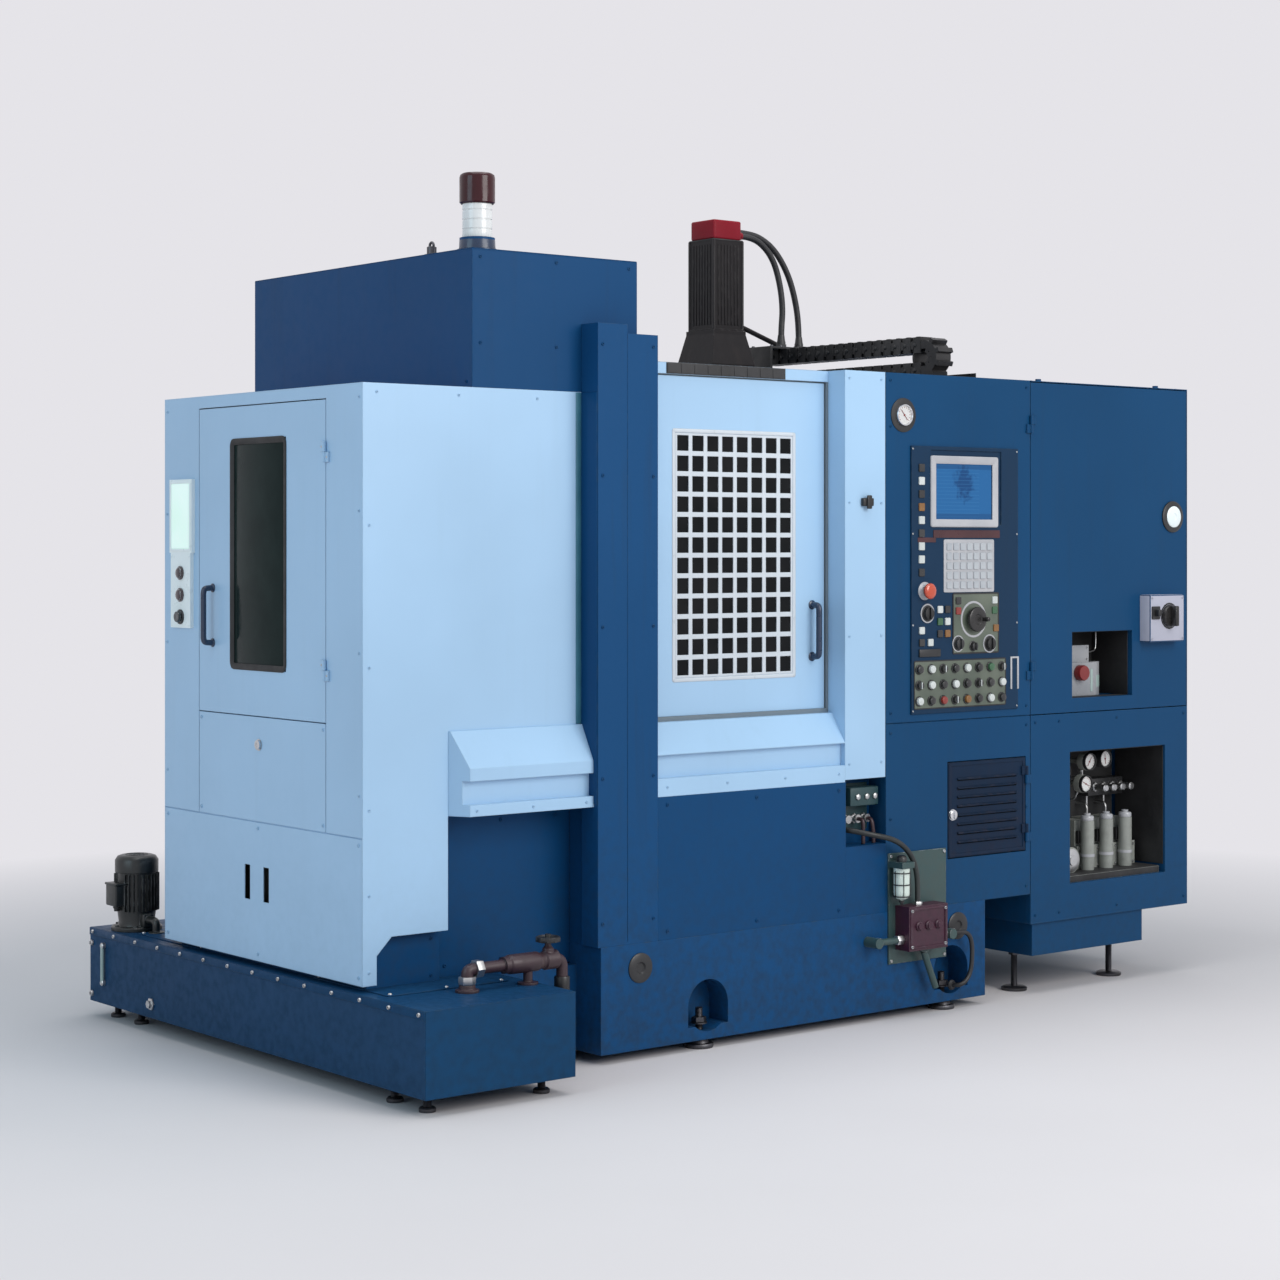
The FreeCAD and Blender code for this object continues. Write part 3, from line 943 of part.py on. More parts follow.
node("cabinet_shell",
     group("cabinet_shell", lower_side, plinth,
           slab("case_floor", case_xs, case_ys, (case_zs[0], side_zs[0])),
           slab("case_top", case_xs, case_ys, (side_zs[1], case_zs[1])),
           slab("case_rear", case_xs, (inner_case_ys[1], case_ys[1]), side_zs),
           slab("case_front", (case_xs[0], power_xs[0] - s.slip), (case_ys[0], inner_case_ys[0]), side_zs),
           slab("case_front_low", (power_xs[0] - s.slip, skin), (case_ys[0], inner_case_ys[0]),
                (side_zs[0], s.split_z)),
           slab("oiler_stand", (power_xs[0] - s.oiler_deep, power_xs[0] - s.oiler_deep / 2), oiler_ys,
                (s.split_z, s.oiler_low - s.sheet)),
           slab("case_left", (case_xs[0], case_xs[0] + s.sheet), inner_case_ys, side_zs),
           slab("case_shelf", (case_xs[0] + s.sheet, skin), inner_case_ys, (s.split_z - s.sheet, s.split_z)),
           slab("cooler_hood", cooler_xs, (s.cabinet_rear, s.cabinet_rear + s.cooler_out),
                (s.cooler_low, s.cooler_top)),
           *niche("niche", niche_ys, niche_zs, skin, s.niche_deep),
           *niche("oiler_niche", oiler_ys, oiler_zs, power_xs[0] - s.slip, s.oiler_deep)))

# Door of the power side: folded leaf with a hole for the oiler's niche and the switch box on its face
power_leaf = cut("power_leaf",
                 slab("power_block", power_xs, power_ys, power_zs),
                 slab("power_space", (power_xs[0], skin), (power_ys[0] + s.slide_rim, s.oiler_front - s.vent_thick),
                      (power_zs[0] + s.slide_rim, power_zs[1] - s.slide_rim)),
                 slab("power_space_rear", (power_xs[0], skin),
                      (s.oiler_rear + s.vent_thick, power_ys[1] - s.slide_rim),
                      (power_zs[0] + s.slide_rim, power_zs[1] - s.slide_rim)),
                 slab("power_space_top", (power_xs[0], skin),
                      (s.oiler_front - s.vent_thick, s.oiler_rear + s.vent_thick),
                      (s.oiler_top + s.vent_thick, power_zs[1] - s.slide_rim)),
                 slab("oiler_hole", power_xs, oiler_ys, oiler_zs))
switch_face = cabinet_right + s.switch_out
knob_bore_x = switch_face - s.stem_deep
switch_box = cut("switch_box",
                 slab("switch_block", (skin, switch_face), (s.switch_front, s.switch_rear),
                      (s.switch_low, s.switch_top)),
                 rod("knob_bore", "x", (knob_bore_x, s.knob_y, s.knob_z), s.stem_radius + s.slip, s.stem_deep))
node("power_door",
     fuse("power_door", power_leaf, switch_box,
          rod("door_lock", "x", (skin, s.switch_rear - s.lock_inset, s.lock_high), s.lock_radius * 2,
              s.sheet + s.panel_proud),
          *[upper for upper, lower in power_hinges]))
node("main_switch_knob",
     fuse("main_switch_knob",
          rod("knob_disc", "x", (switch_face + s.slip, s.knob_y, s.knob_z), s.knob_radius, s.knob_thick),
          rod("knob_stem", "x", (knob_bore_x + s.slip, s.knob_y, s.knob_z), s.stem_radius, s.stem_deep),
          slab("knob_bar", (switch_face + s.knob_thick, switch_face + s.knob_thick + s.knob_bar),
               (s.knob_y - s.knob_bar_wide / 2, s.knob_y + s.knob_bar_wide / 2),
               (s.knob_z - s.knob_radius * 0.9, s.knob_z + s.knob_radius * 0.9))))

# Hydraulic unit in the lower niche: drip tray, back plate, valve block, filters and gauges
hyd_floor = s.niche_low
hyd_plate_x = skin - s.niche_deep + s.hyd_gap
hyd_top = hyd_floor + s.hyd_tray
hyd_block_x = hyd_plate_x + s.hyd_plate
hyd_face_x = hyd_block_x + s.hyd_block_deep
hyd_ys = (s.niche_front + s.hyd_gap, s.niche_rear - s.hyd_gap)
hyd_parts = [slab("hyd_tray", (hyd_plate_x, skin - s.hyd_gap), hyd_ys, (hyd_floor, hyd_top)),
             slab("hyd_plate", (hyd_plate_x, hyd_block_x), hyd_ys, (hyd_top, s.niche_top - s.hyd_gap)),
             slab("hyd_block", (hyd_block_x, hyd_face_x), (s.filter_y - s.filter_radius, hyd_ys[1] - s.hyd_gap),
                  (hyd_top, hyd_top + s.hyd_block_high))]
filter_x = hyd_face_x + s.filter_radius + s.slip
for index in range(s.filter_count.number):
    hyd_parts.append(rod("hyd_filter", "z", (filter_x, s.filter_y + s.filter_step * index, hyd_top),
                         s.filter_radius, s.filter_high))
for index in range(s.filter_count.number):
    valve_y = s.filter_y + s.filter_step * index
    valve_z = hyd_top + s.hyd_block_high
    hyd_parts.append(slab("hyd_valve", (hyd_block_x, hyd_face_x - s.hyd_gap),
                          (valve_y - s.filter_radius, valve_y + s.filter_radius), (valve_z, valve_z + s.valve_tall)))
gauge_x = hyd_face_x - s.hyd_gap
for y, z, radius in ((s.gauge_y, s.gauge_z, s.gauge_radius),
                     (s.gauge_y + s.gauge_step, s.gauge_z + s.gauge_rise, s.gauge_radius),
                     (s.filter_y, s.gauge_z - s.gauge_rise * 2, s.gauge_radius)):
    hyd_parts.append(rod("gauge_stem", "x", (hyd_block_x, y, z), radius * 0.3, gauge_x - hyd_block_x))
    hyd_parts.append(rod("gauge", "x", (gauge_x, y, z), radius, s.gauge_thick))
hyd_parts.append(rod("hyd_pump", "x", (hyd_block_x, s.gauge_y, hyd_top + s.pump_body), s.pump_body, s.hyd_pump_long))
node("hydraulic_unit", group("hydraulic_unit", *hyd_parts))

# Oiler in the upper niche: reservoir, pump head, red filler cap and a canister beside it
oil_x = power_xs[0] - s.oiler_deep + s.hyd_gap
oil_y = s.oiler_front + s.oil_inset
oil_parts = [slab("oil_reservoir", (oil_x, oil_x + s.oil_deep), (oil_y, oil_y + s.oil_wide),
                  (s.oiler_low, s.oiler_low + s.oil_high)),
             slab("oil_head", (oil_x, oil_x + s.oil_deep * 0.8), (oil_y + s.hyd_gap, oil_y + s.oil_wide - s.hyd_gap),
                  (s.oiler_low + s.oil_high, s.oiler_low + s.oil_high + s.oil_head)),
             rod("oil_cap", "x", (oil_x + s.oil_deep, oil_y + s.oil_wide * 0.4, s.oiler_low + s.oil_high * 0.7),
                 s.oil_cap, s.oil_cap),
             rod("oil_can", "z", (oil_x + s.oil_deep / 2, oil_y + s.oil_wide + s.oil_can * 1.4, s.oiler_low),
                 s.oil_can, s.oil_high)]
node("lubricator", group("lubricator", *oil_parts))

# Air service unit on the side: filter head with its bowl, red valve block, fittings and the drain pipe
air_xs = (bed_right, bed_right + s.air_plate)
unit_xs = (air_xs[1], air_xs[1] + s.air_block_deep)
bowl_x = air_xs[1] + s.air_block_deep / 2
valve_ys = (s.air_front + s.valve_inset, s.air_front + s.valve_inset + s.valve_wide)
fitting_z = s.valve_low + s.fitting_rise
node("air_unit",
     fuse("air_unit",
          slab("air_plate", air_xs, (s.air_front, s.air_rear), (s.air_plate_low, s.air_plate_top)),
          slab("filter_head", unit_xs, (s.air_front, s.air_front + s.bowl_radius * 2),
               (s.bowl_top, s.head_top)),
          rod("head_knob", "z", (bowl_x, s.air_front + s.bowl_radius, s.head_top), s.fitting_radius,
              s.fitting_radius),
          rod("left_pipe", "y", (bowl_x, s.left_fitting, fitting_z), s.fitting_radius,
              valve_ys[0] - s.left_fitting),
          rod("right_pipe", "y", (bowl_x, valve_ys[1], fitting_z), s.fitting_radius,
              s.air_rear - s.fitting_wide - valve_ys[1]),
          rod("drain_nut", "z", (bowl_x, s.drain_top, s.valve_low - s.fitting_radius), s.fitting_wide,
              s.fitting_radius),
          rod("left_fitting", "x", (bed_right, s.left_fitting, fitting_z), s.fitting_wide,
              s.air_plate + s.air_block_deep * 0.8),
          rod("right_fitting", "x", (air_xs[1], s.air_rear - s.fitting_wide, fitting_z), s.fitting_wide,
              s.air_block_deep * 0.8),
          rod("hose_fitting", "z", (bowl_x, s.hose_y, s.valve_high_z), s.hose_radius * 1.5, s.hose_radius),
          leaning("drain_pipe", (bowl_x, s.drain_y, s.drain_low), s.fitting_radius, s.drain_long,
                  s.drain_tilt.number)))
node("air_valve", slab("air_valve", unit_xs, valve_ys, (s.valve_low, s.valve_high_z)))
bowl_points = [(0, 0), (s.bowl_radius * 0.6, 0), (s.bowl_radius, s.bowl_radius * 0.5),
               (s.bowl_radius, s.bowl_long), (0, s.bowl_long)]
node("air_bowl", turned("air_bowl", "z", bowl_points,
                        (bowl_x, s.air_front + s.bowl_radius, s.bowl_top - s.bowl_long)))

# Guide rails of the table and of the column
table_rail_xs = [(s.centre_x + side * s.table_rail_reach - s.rail_wide / 2,
                  s.centre_x + side * s.table_rail_reach + s.rail_wide / 2) for side in (-1, 1)]
rail_zs = (s.way_top, s.way_top + s.rail_high)
column_rail_ys = [(y - s.rail_wide / 2, y + s.rail_wide / 2) for y in (s.column_rail_front, s.column_rail_rear)]
node("guide_rails",
     group("guide_rails",
           *[slab("table_rail", xs, (s.table_way_front, s.table_way_rear), rail_zs) for xs in table_rail_xs],
           *[slab("column_rail", (s.column_way_left, s.column_way_right), ys, rail_zs) for ys in column_rail_ys]))

# Column: base, two legs, rear web, top beam, upright rails and the bridge that leads the cables to the chain
carriage_z = rail_zs[1] + s.slip
column_xs = (s.column_x - s.column_half, s.column_x + s.column_half)
column_ys = (s.column_way_front, s.column_way_rear - s.skin_gap)
base_top = carriage_z + s.column_base_high
leg_zs = (base_top, s.beam_low)
post_rail_ys = (column_ys[0] - s.post_rail_deep, column_ys[0])
upright_rails = [slab("upright_rail", (s.column_x + side * s.post_rail_reach - s.rail_wide / 2,
                                       s.column_x + side * s.post_rail_reach + s.rail_wide / 2),
                      post_rail_ys, leg_zs) for side in (-1, 1)]
tray_top = s.room_top + s.sheet
chain_mid = tray_top + s.chain_link + s.chain_bend
chain_top = chain_mid + s.chain_bend + s.chain_link
bridge_xs = (s.column_x - s.bridge_wide / 2, s.column_x + s.bridge_wide / 2)
bridge_z = chain_top + s.slip * 2
bridge_front = s.tray_front - s.tray_lip - s.bridge_plate
node("column",
     fuse("column",
          slab("column_base", column_xs, column_ys, (carriage_z, base_top)),
          slab("left_leg", (column_xs[0], column_xs[0] + s.leg_wide), column_ys, leg_zs),
          slab("right_leg", (column_xs[1] - s.leg_wide, column_xs[1]), column_ys, leg_zs),
          slab("rear_web", column_xs, (column_ys[1] - s.web_thick, column_ys[1]), leg_zs),
          slab("top_beam", column_xs, column_ys, (s.beam_low, s.column_top)),
          slab("bridge_post", bridge_xs, (bridge_front, bridge_front + s.bridge_plate),
               (s.column_top, bridge_z + s.bridge_plate)),
          slab("bridge_plate", bridge_xs, (bridge_front, s.bridge_rear),
               (bridge_z, bridge_z + s.bridge_plate)),
          *upright_rails))

# Spindle head: wings on the upright rails, ram, nose ring and the nut of the lead screw
wing_rear = post_rail_ys[0] - s.slip
wing_ys = (wing_rear - s.wing_thick, wing_rear)
head_zs = (s.head_z - s.wing_high, s.head_z + s.wing_high)
ram_zs = (s.head_z - s.ram_high, s.head_z + s.ram_high)
head_body = fuse("head_body",
                 slab("wings", (s.column_x - s.wing_half, s.column_x + s.wing_half), wing_ys, head_zs),
                 slab("ram", (s.column_x - s.ram_half, s.column_x + s.ram_half), (s.ram_front, wing_ys[0]), ram_zs),
                 rod("nose", "y", (s.column_x, s.nose_y, s.head_z), s.nose_radius, s.ram_front - s.nose_y),
                 slab("screw_nut", (s.column_x - s.nut_half, s.column_x + s.nut_half), (wing_rear, s.nut_back),
                      (s.head_z - s.nut_tall, s.head_z + s.nut_tall)))
node("spindle_head",
     cut("spindle_head", head_body,
         rod("spindle_bore", "y", (s.column_x, s.nose_y, s.head_z), s.spindle_radius + s.slip,
             s.spindle_long + s.slip * 2),
         rod("screw_bore", "z", (s.column_x, s.screw_y, s.head_z - s.nut_tall), s.lead_radius + s.slip,
             s.nut_tall * 2)))

# Spindle: a turned shaft with a taper socket and two driving keys
spindle_points = [(s.taper_radius, 0), (s.spindle_radius, 0), (s.spindle_radius, s.spindle_long),
                  (0, s.spindle_long), (0, s.taper_long), (s.taper_end, s.taper_long)]
driving_keys = [slab("driving_key", (x - s.key_wide / 2, x + s.key_wide / 2),
                     (s.nose_y - s.key_high, s.nose_y + s.key_high),
                     (s.head_z - s.key_wide / 2, s.head_z + s.key_wide / 2))
                for x in (s.column_x - s.spindle_radius * 0.7, s.column_x + s.spindle_radius * 0.7)]
node("spindle", fuse("spindle", turned("spindle_shaft", "y", spindle_points, (s.column_x, s.nose_y, s.head_z)),
                     *driving_keys))

# Lead screw of the head, standing between the column's base and its top beam
node("lead_screw", rod("lead_screw", "z", (s.column_x, s.screw_y, base_top + s.slip), s.lead_radius,
                       s.beam_low - base_top - s.slip * 2))

# Servo motor of the head on its flared mount, with its red cap
motor_square = s.motor_wide / 2
cap_square = s.cap_wide / 2
mount_square = s.mount_foot / 2


def square(name, half, zs):
    """A square block centred on the head motor's axis."""
    return slab(name, (s.column_x - half, s.column_x + half), (s.screw_y - half, s.screw_y + half), zs)


# The neck tapers on all four sides, from the block up to the square plate under the motor
neck = doc.addObject("Part::Wedge", "mount_neck")
neck.Placement = FreeCAD.Placement(FreeCAD.Vector(), FreeCAD.Rotation(FreeCAD.Vector(1, 0, 0), 90))
for prop, value in (("Xmin", -s.mount_wide / 2), ("Xmax", s.mount_wide / 2), ("Zmin", -s.mount_wide / 2),
                    ("Zmax", s.mount_wide / 2), ("X2min", -s.mount_neck / 2), ("X2max", s.mount_neck / 2),
                    ("Z2min", -s.mount_neck / 2), ("Z2max", s.mount_neck / 2), ("Ymin", s.mount_wide * 0),
                    ("Ymax", s.motor_low - s.column_top - s.mount_rise - s.mount_flange)):
    set_size(neck, prop, value)
set_place(neck, (s.column_x, s.screw_y, s.column_top + s.mount_rise))
node("head_motor",
     fuse("head_motor",
          square("mount_foot", mount_square, (s.column_top, s.column_top + s.mount_flange)),
          square("mount_block", s.mount_wide / 2, (s.column_top + s.mount_flange, s.column_top + s.mount_rise)),
          neck,
          square("mount_head", s.mount_neck / 2, (s.motor_low - s.mount_flange, s.motor_low)),
          square("motor_body", motor_square, (s.motor_low, s.motor_top)),
          leaning("motor_conduit",
                  (s.column_x - s.conduit_step, s.conduit_y, bridge_z + s.bridge_plate + s.conduit_radius),
                  s.conduit_radius, s.conduit_long, s.conduit_tilt.number)))
node("motor_cap",
     fuse("motor_cap", square("cap_block", cap_square, (s.motor_top, s.cap_top)),
          rod("cap_socket", "y", (s.column_x, s.screw_y + cap_square, s.socket_z), s.socket_radius, s.socket_long),
          rod("cap_socket_low", "y", (s.column_x + s.socket_step, s.screw_y + cap_square, s.socket_z - s.socket_drop),
              s.socket_radius, s.socket_long)))

# Table: saddle with the turret housing, and the turning plate whose spigot sits in it
saddle_z = rail_zs[1] + s.slip
saddle_body = fuse("saddle_body",
                   slab("saddle_plate", (s.centre_x - s.saddle_half_x, s.centre_x + s.saddle_half_x),
                        (s.table_y - s.saddle_half_y, s.table_y + s.saddle_half_y), (saddle_z, s.saddle_top)),
                   rod("turret", "z", (s.centre_x, s.table_y, s.saddle_top), s.turret_radius,
                       s.turret_top - s.saddle_top))
node("table_saddle",
     cut("table_saddle", saddle_body,
         rod("spigot_bore", "z", (s.centre_x, s.table_y, s.turret_top - s.spigot_deep - s.slip),
             s.spigot_radius + s.slip, s.spigot_deep + s.slip)))
node("rotary_table",
     fuse("rotary_table",
          rod("turning_plate", "z", (s.centre_x, s.table_y, s.turret_top + s.slip), s.plate_radius,
              s.plate_top - s.turret_top - s.slip),
          rod("spigot", "z", (s.centre_x, s.table_y, s.turret_top - s.spigot_deep), s.spigot_radius,
              s.spigot_deep + s.slip)))

# Pallet changer: lifting shaft, arm with two pairs of tines and the divider, and the two pallets on it
node("changer_shaft", rod("changer_shaft", "z", (s.centre_x, s.swing_y, s.shaft_low), s.shaft_radius,
                          s.arm_low - s.shaft_low - s.slip))
arm_zs = (s.arm_low, s.arm_top)
tines = [slab("tine", (x, x + s.tine_wide), (s.swing_y - s.arm_long, s.swing_y + s.arm_long), arm_zs)
         for x in (s.centre_x - s.tine_inner - s.tine_wide, s.centre_x + s.tine_inner)]
node("changer_arm",
     fuse("changer_arm", *tines,
          slab("cross_beam", (s.centre_x - s.tine_inner, s.centre_x + s.tine_inner),
               (s.swing_y - s.cross_half, s.swing_y + s.cross_half), arm_zs),
          slab("divider", (s.centre_x - s.screen_half, s.centre_x + s.screen_half),
               (s.swing_y - s.screen_thick / 2, s.swing_y + s.screen_thick / 2), (s.arm_top, s.divider_top))))
corner = s.pallet_half - s.pallet_corner
pallet_points = [(s.pallet_half, corner), (corner, s.pallet_half), (-corner, s.pallet_half),
                 (-s.pallet_half, corner),
                 (-s.pallet_half, -corner), (-corner, -s.pallet_half), (corner, -s.pallet_half),
                 (s.pallet_half, -corner)]
pallets = []
for place in (s.swing_y - s.swing_reach, s.swing_y + s.swing_reach):
    block = padded("pallet_block", "XY_Plane", pallet_points, s.pallet_thick, (s.centre_x, place, s.arm_top))
    pallet_top = s.arm_top + s.pallet_thick
    grooves = [slab("pallet_groove", (s.centre_x - s.pallet_half, s.centre_x + s.pallet_half),
                    (place + s.groove_step * index - s.groove_wide / 2,
                     place + s.groove_step * index + s.groove_wide / 2),
                    (pallet_top - s.groove_deep, pallet_top)) for index in (-1, 0, 1)]
    pallets.append(cut("pallet", block, *grooves))
node("pallets", group("pallets", *pallets))

# Tool magazine on the left: sheet cover, bearing block, disc with its pots, and the tools in them
store_xs = (bed_left - s.store_out, bed_left)
store_ys = (s.store_front, s.store_rear)
store_zs = (s.store_low, s.store_top)
store_inner_xs = (store_xs[0] + s.sheet, store_xs[1])
disc_x = bed_left - s.disc_out
block_x = disc_x + s.disc_thick + s.hub_block
bearing = cut("bearing_block",
              slab("bearing", (block_x, bed_left), (s.disc_y - s.hub_radius, s.disc_y + s.hub_radius),
                   (s.disc_z - s.hub_radius, s.disc_z + s.hub_radius)),
              rod("stub_bore", "x", (block_x, s.disc_y, s.disc_z), s.stub_radius + s.slip, s.stub_long + s.slip))
node("magazine_cover",
     group("magazine_cover", bearing,
           slab("store_side", (store_xs[0], store_inner_xs[0]), store_ys, store_zs),
           slab("store_front_sheet", store_inner_xs, (store_ys[0], store_ys[0] + s.sheet), store_zs),
           slab("store_rear_sheet", store_inner_xs, (store_ys[1] - s.sheet, store_ys[1]), store_zs),
           slab("store_top_sheet", store_inner_xs, (store_ys[0] + s.sheet, store_ys[1] - s.sheet),
                (store_zs[1] - s.sheet, store_zs[1])),
           slab("store_floor_sheet", store_inner_xs, (store_ys[0] + s.sheet, store_ys[1] - s.sheet),
                (store_zs[0], store_zs[0] + s.sheet))))
pot_x = disc_x - s.pot_long
pots = []
bores = []
tools = []
for index in range(s.pot_count.number):
    angle = 2 * math.pi * index / s.pot_count.number
    pot_y = s.disc_y + s.pot_pitch * math.cos(angle)
    pot_z = s.disc_z + s.pot_pitch * math.sin(angle)
    pots.append(rod("pot", "x", (pot_x, pot_y, pot_z), s.pot_radius, s.pot_long))
    bores.append(rod("pot_bore", "x", (pot_x, pot_y, pot_z), s.shank_radius + s.slip, s.pot_long))
    tools.append(fuse("tool",
                      rod("shank", "x", (pot_x - s.slip, pot_y, pot_z), s.shank_radius, s.pot_long - s.slip),
                      rod("flange", "x", (pot_x - s.slip - s.flange_thick, pot_y, pot_z), s.tool_radius,
                          s.flange_thick),
                      rod("cutter", "x", (pot_x - s.tool_long, pot_y, pot_z), s.shank_radius * 0.7, s.tool_long)))
disc_body = fuse("disc_body",
                 rod("disc_plate", "x", (disc_x, s.disc_y, s.disc_z), s.disc_radius, s.disc_thick),
                 rod("disc_hub", "x", (disc_x, s.disc_y, s.disc_z), s.hub_radius,
                     s.disc_thick + s.hub_block - s.slip),
                 rod("disc_stub", "x", (disc_x, s.disc_y, s.disc_z), s.stub_radius,
                     s.disc_thick + s.hub_block + s.stub_long), *pots)
node("magazine_disc", cut("magazine_disc", disc_body, *bores))
node("tool_holders", group("tool_holders", *tools))

# Tool-change arm: bar with a jaw at each end, on a shaft that turns in the gearbox
swap_ys = (s.swap_front, s.swap_front + s.swap_thick)
tips = [rod("tip", "y", (swap_x, s.swap_front, swap_z + side * s.swap_reach), s.swap_tip, s.swap_thick)
        for side in (-1, 1)]
jaws = [rod("jaw", "y", (swap_x, s.swap_front, swap_z + side * s.swap_reach), s.swap_jaw, s.swap_thick)
        for side in (-1, 1)]
mouths = [slab("mouth_low", (swap_x, swap_x + s.swap_tip), swap_ys,
               (swap_z - s.swap_reach - s.swap_jaw * 0.8, swap_z - s.swap_reach + s.swap_jaw * 0.8)),
          slab("mouth_high", (swap_x - s.swap_tip, swap_x), swap_ys,
               (swap_z + s.swap_reach - s.swap_jaw * 0.8, swap_z + s.swap_reach + s.swap_jaw * 0.8))]
swap_body = fuse("swap_body",
                 slab("swap_bar", (swap_x - s.swap_wide / 2, swap_x + s.swap_wide / 2), swap_ys,
                      (swap_z - s.swap_reach, swap_z + s.swap_reach)),
                 rod("swap_hub", "y", (swap_x, s.swap_front, swap_z), s.swap_wide * 0.8, s.swap_thick),
                 rod("swap_shaft", "y", (swap_x, s.swap_front, swap_z), s.swap_shaft,
                     s.gear_rear - s.swap_front - s.jamb * 2), *tips)
node("change_arm", cut("change_arm", swap_body, *jaws, *mouths))

# Energy chain in its tray: two runs joined by a bend, each link a block on the band
tray_zs = (s.room_top, tray_top)
chain_ys = (s.chain_y - s.chain_wide / 2, s.chain_y + s.chain_wide / 2)
band = s.chain_link / 4
run_long = s.chain_right - s.chain_left
links = [slab("band_low", (s.chain_left, s.chain_right), chain_ys, (tray_top + band, tray_top + s.chain_link - band)),
         slab("band_high", (s.chain_left, s.chain_right), chain_ys,
              (chain_top - s.chain_link + band, chain_top - band))]
link_count = int(run_long.number / s.chain_pitch.number)
for index in range(link_count):
    x = s.chain_left + s.chain_pitch * index
    for z in (tray_top, chain_top - s.chain_link):
        links.append(slab("link", (x, x + s.chain_pitch * 0.8), chain_ys, (z, z + s.chain_link)))
ring = cut("bend_ring",
           rod("bend_outer", "y", (s.chain_right, chain_ys[0], chain_mid), s.chain_bend + s.chain_link - band,
               s.chain_wide),
           rod("bend_inner", "y", (s.chain_right, chain_ys[0], chain_mid), s.chain_bend + band, s.chain_wide),
           slab("bend_half", (s.chain_right - s.chain_bend * 3, s.chain_right), chain_ys,
                (chain_mid - s.chain_bend * 3, chain_mid + s.chain_bend * 3)))
for angle in (-60, -20, 20, 60):
    turn = math.radians(angle)
    link = doc.addObject("Part::Box", "bend_link")
    link.Placement = FreeCAD.Placement(FreeCAD.Vector(), FreeCAD.Rotation(FreeCAD.Vector(0, 1, 0), -angle))
    set_size(link, "Length", s.chain_link)
    set_size(link, "Width", s.chain_wide)
    set_size(link, "Height", s.chain_bend)
    set_place(link, (s.chain_right + s.chain_bend * math.cos(turn) + s.chain_bend / 2 * math.sin(turn), chain_ys[0],
                     chain_mid + s.chain_bend * math.sin(turn) - s.chain_bend / 2 * math.cos(turn)))
    links.append(link)
tray_xs = (bed_left, bed_right - s.tray_end)
tray_ys = (s.tray_front, s.tray_rear)
tray = fuse("chain_tray",
            slab("tray_floor", tray_xs, tray_ys, tray_zs),
            slab("tray_lip", tray_xs, (tray_ys[0], tray_ys[0] + s.sheet),
                 (s.room_top, s.room_top + s.tray_lip)),
            slab("tray_lip", tray_xs, (tray_ys[1] - s.sheet, tray_ys[1]),
                 (s.room_top, s.room_top + s.tray_lip)))
node("cable_chain", group("cable_chain", fuse("chain", ring, *links), tray))

# Cables from the motor's cap to the bridge, and the air hose from the bay to the filter head
socket_face = number(s.screw_y + cap_square + s.socket_long)
high_z = number(s.socket_z)
low_z = number(s.socket_z - s.socket_drop)
low_x = number(s.column_x + s.socket_step)
bridge_top = number(bridge_z + s.bridge_plate)
column_at = s.column_x.number
upper_route = [(column_at, socket_face, high_z), (column_at, 440, high_z), (column_at, 508, high_z - 10),
               (column_at, 580, high_z - 50), (column_at, 643, high_z - 130), (column_at, 679, high_z - 222),
               (column_at, 697, high_z - 318), (column_at, 697, bridge_top)]
lower_route = [(low_x, socket_face, low_z), (low_x, 430, low_z), (low_x, 488, low_z - 20),
               (low_x, 544, low_z - 74),
               (low_x, 576, low_z - 164), (low_x, 588, low_z - 250), (low_x, 580, low_z - 324),
               (low_x, 580, bridge_top)]
node("motor_cable_upper", cord("motor_cable_upper", upper_route, s.cable_radius))
node("motor_cable_lower", cord("motor_cable_lower", lower_route, s.cable_radius))
hose_x = number(bay_xs[1])
hose_low = number(s.valve_high_z + s.hose_radius)
hose_y = s.hose_y.number
hose_end_x = number(bowl_x)
hose_route = [(hose_x, 66, 628), (hose_x + 40, 66, 628), (hose_x + 82, 83, 624), (hose_x + 113, 115, 616),
              (hose_x + 130, 157, 606), (hose_x + 131, 208, 594), (hose_x + 128, 260, 570),
              (hose_x + 124, 304, 530), (hose_x + 120, hose_y - 6, 478), (hose_end_x, hose_y, 428),
              (hose_end_x, hose_y, hose_low)]
node("air_hose", cord("air_hose", hose_route, s.hose_radius))

# Every piece has to be a valid solid before its file is written
doc.recompute()
faulty = [item.Label for item in doc.Objects if "Invalid" in item.State or "Error" in item.State]
for item in nodes:
    if item.Shape.isNull() or not item.Shape.isValid() or not item.Shape.Solids:
        faulty.append(item.Label)
if faulty:
    raise SystemExit(f"these objects failed: {faulty}")
os.makedirs("parts", exist_ok=True)
for item in nodes:
    item.Shape.exportStep(f"parts/{item.Label}.step")
whole = FreeCAD.BoundBox()
for item in nodes:
    whole.add(item.Shape.BoundBox)
print(len(nodes), "pieces, box", whole)
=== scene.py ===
"""Looks of the horizontal machining centre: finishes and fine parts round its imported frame.

Cords, lamps and the camera are given in metres, and the shapes made on the bench in millimetres.
"""
import math
from itertools import product

import bmesh
import bpy
from mathutils import Matrix, Vector


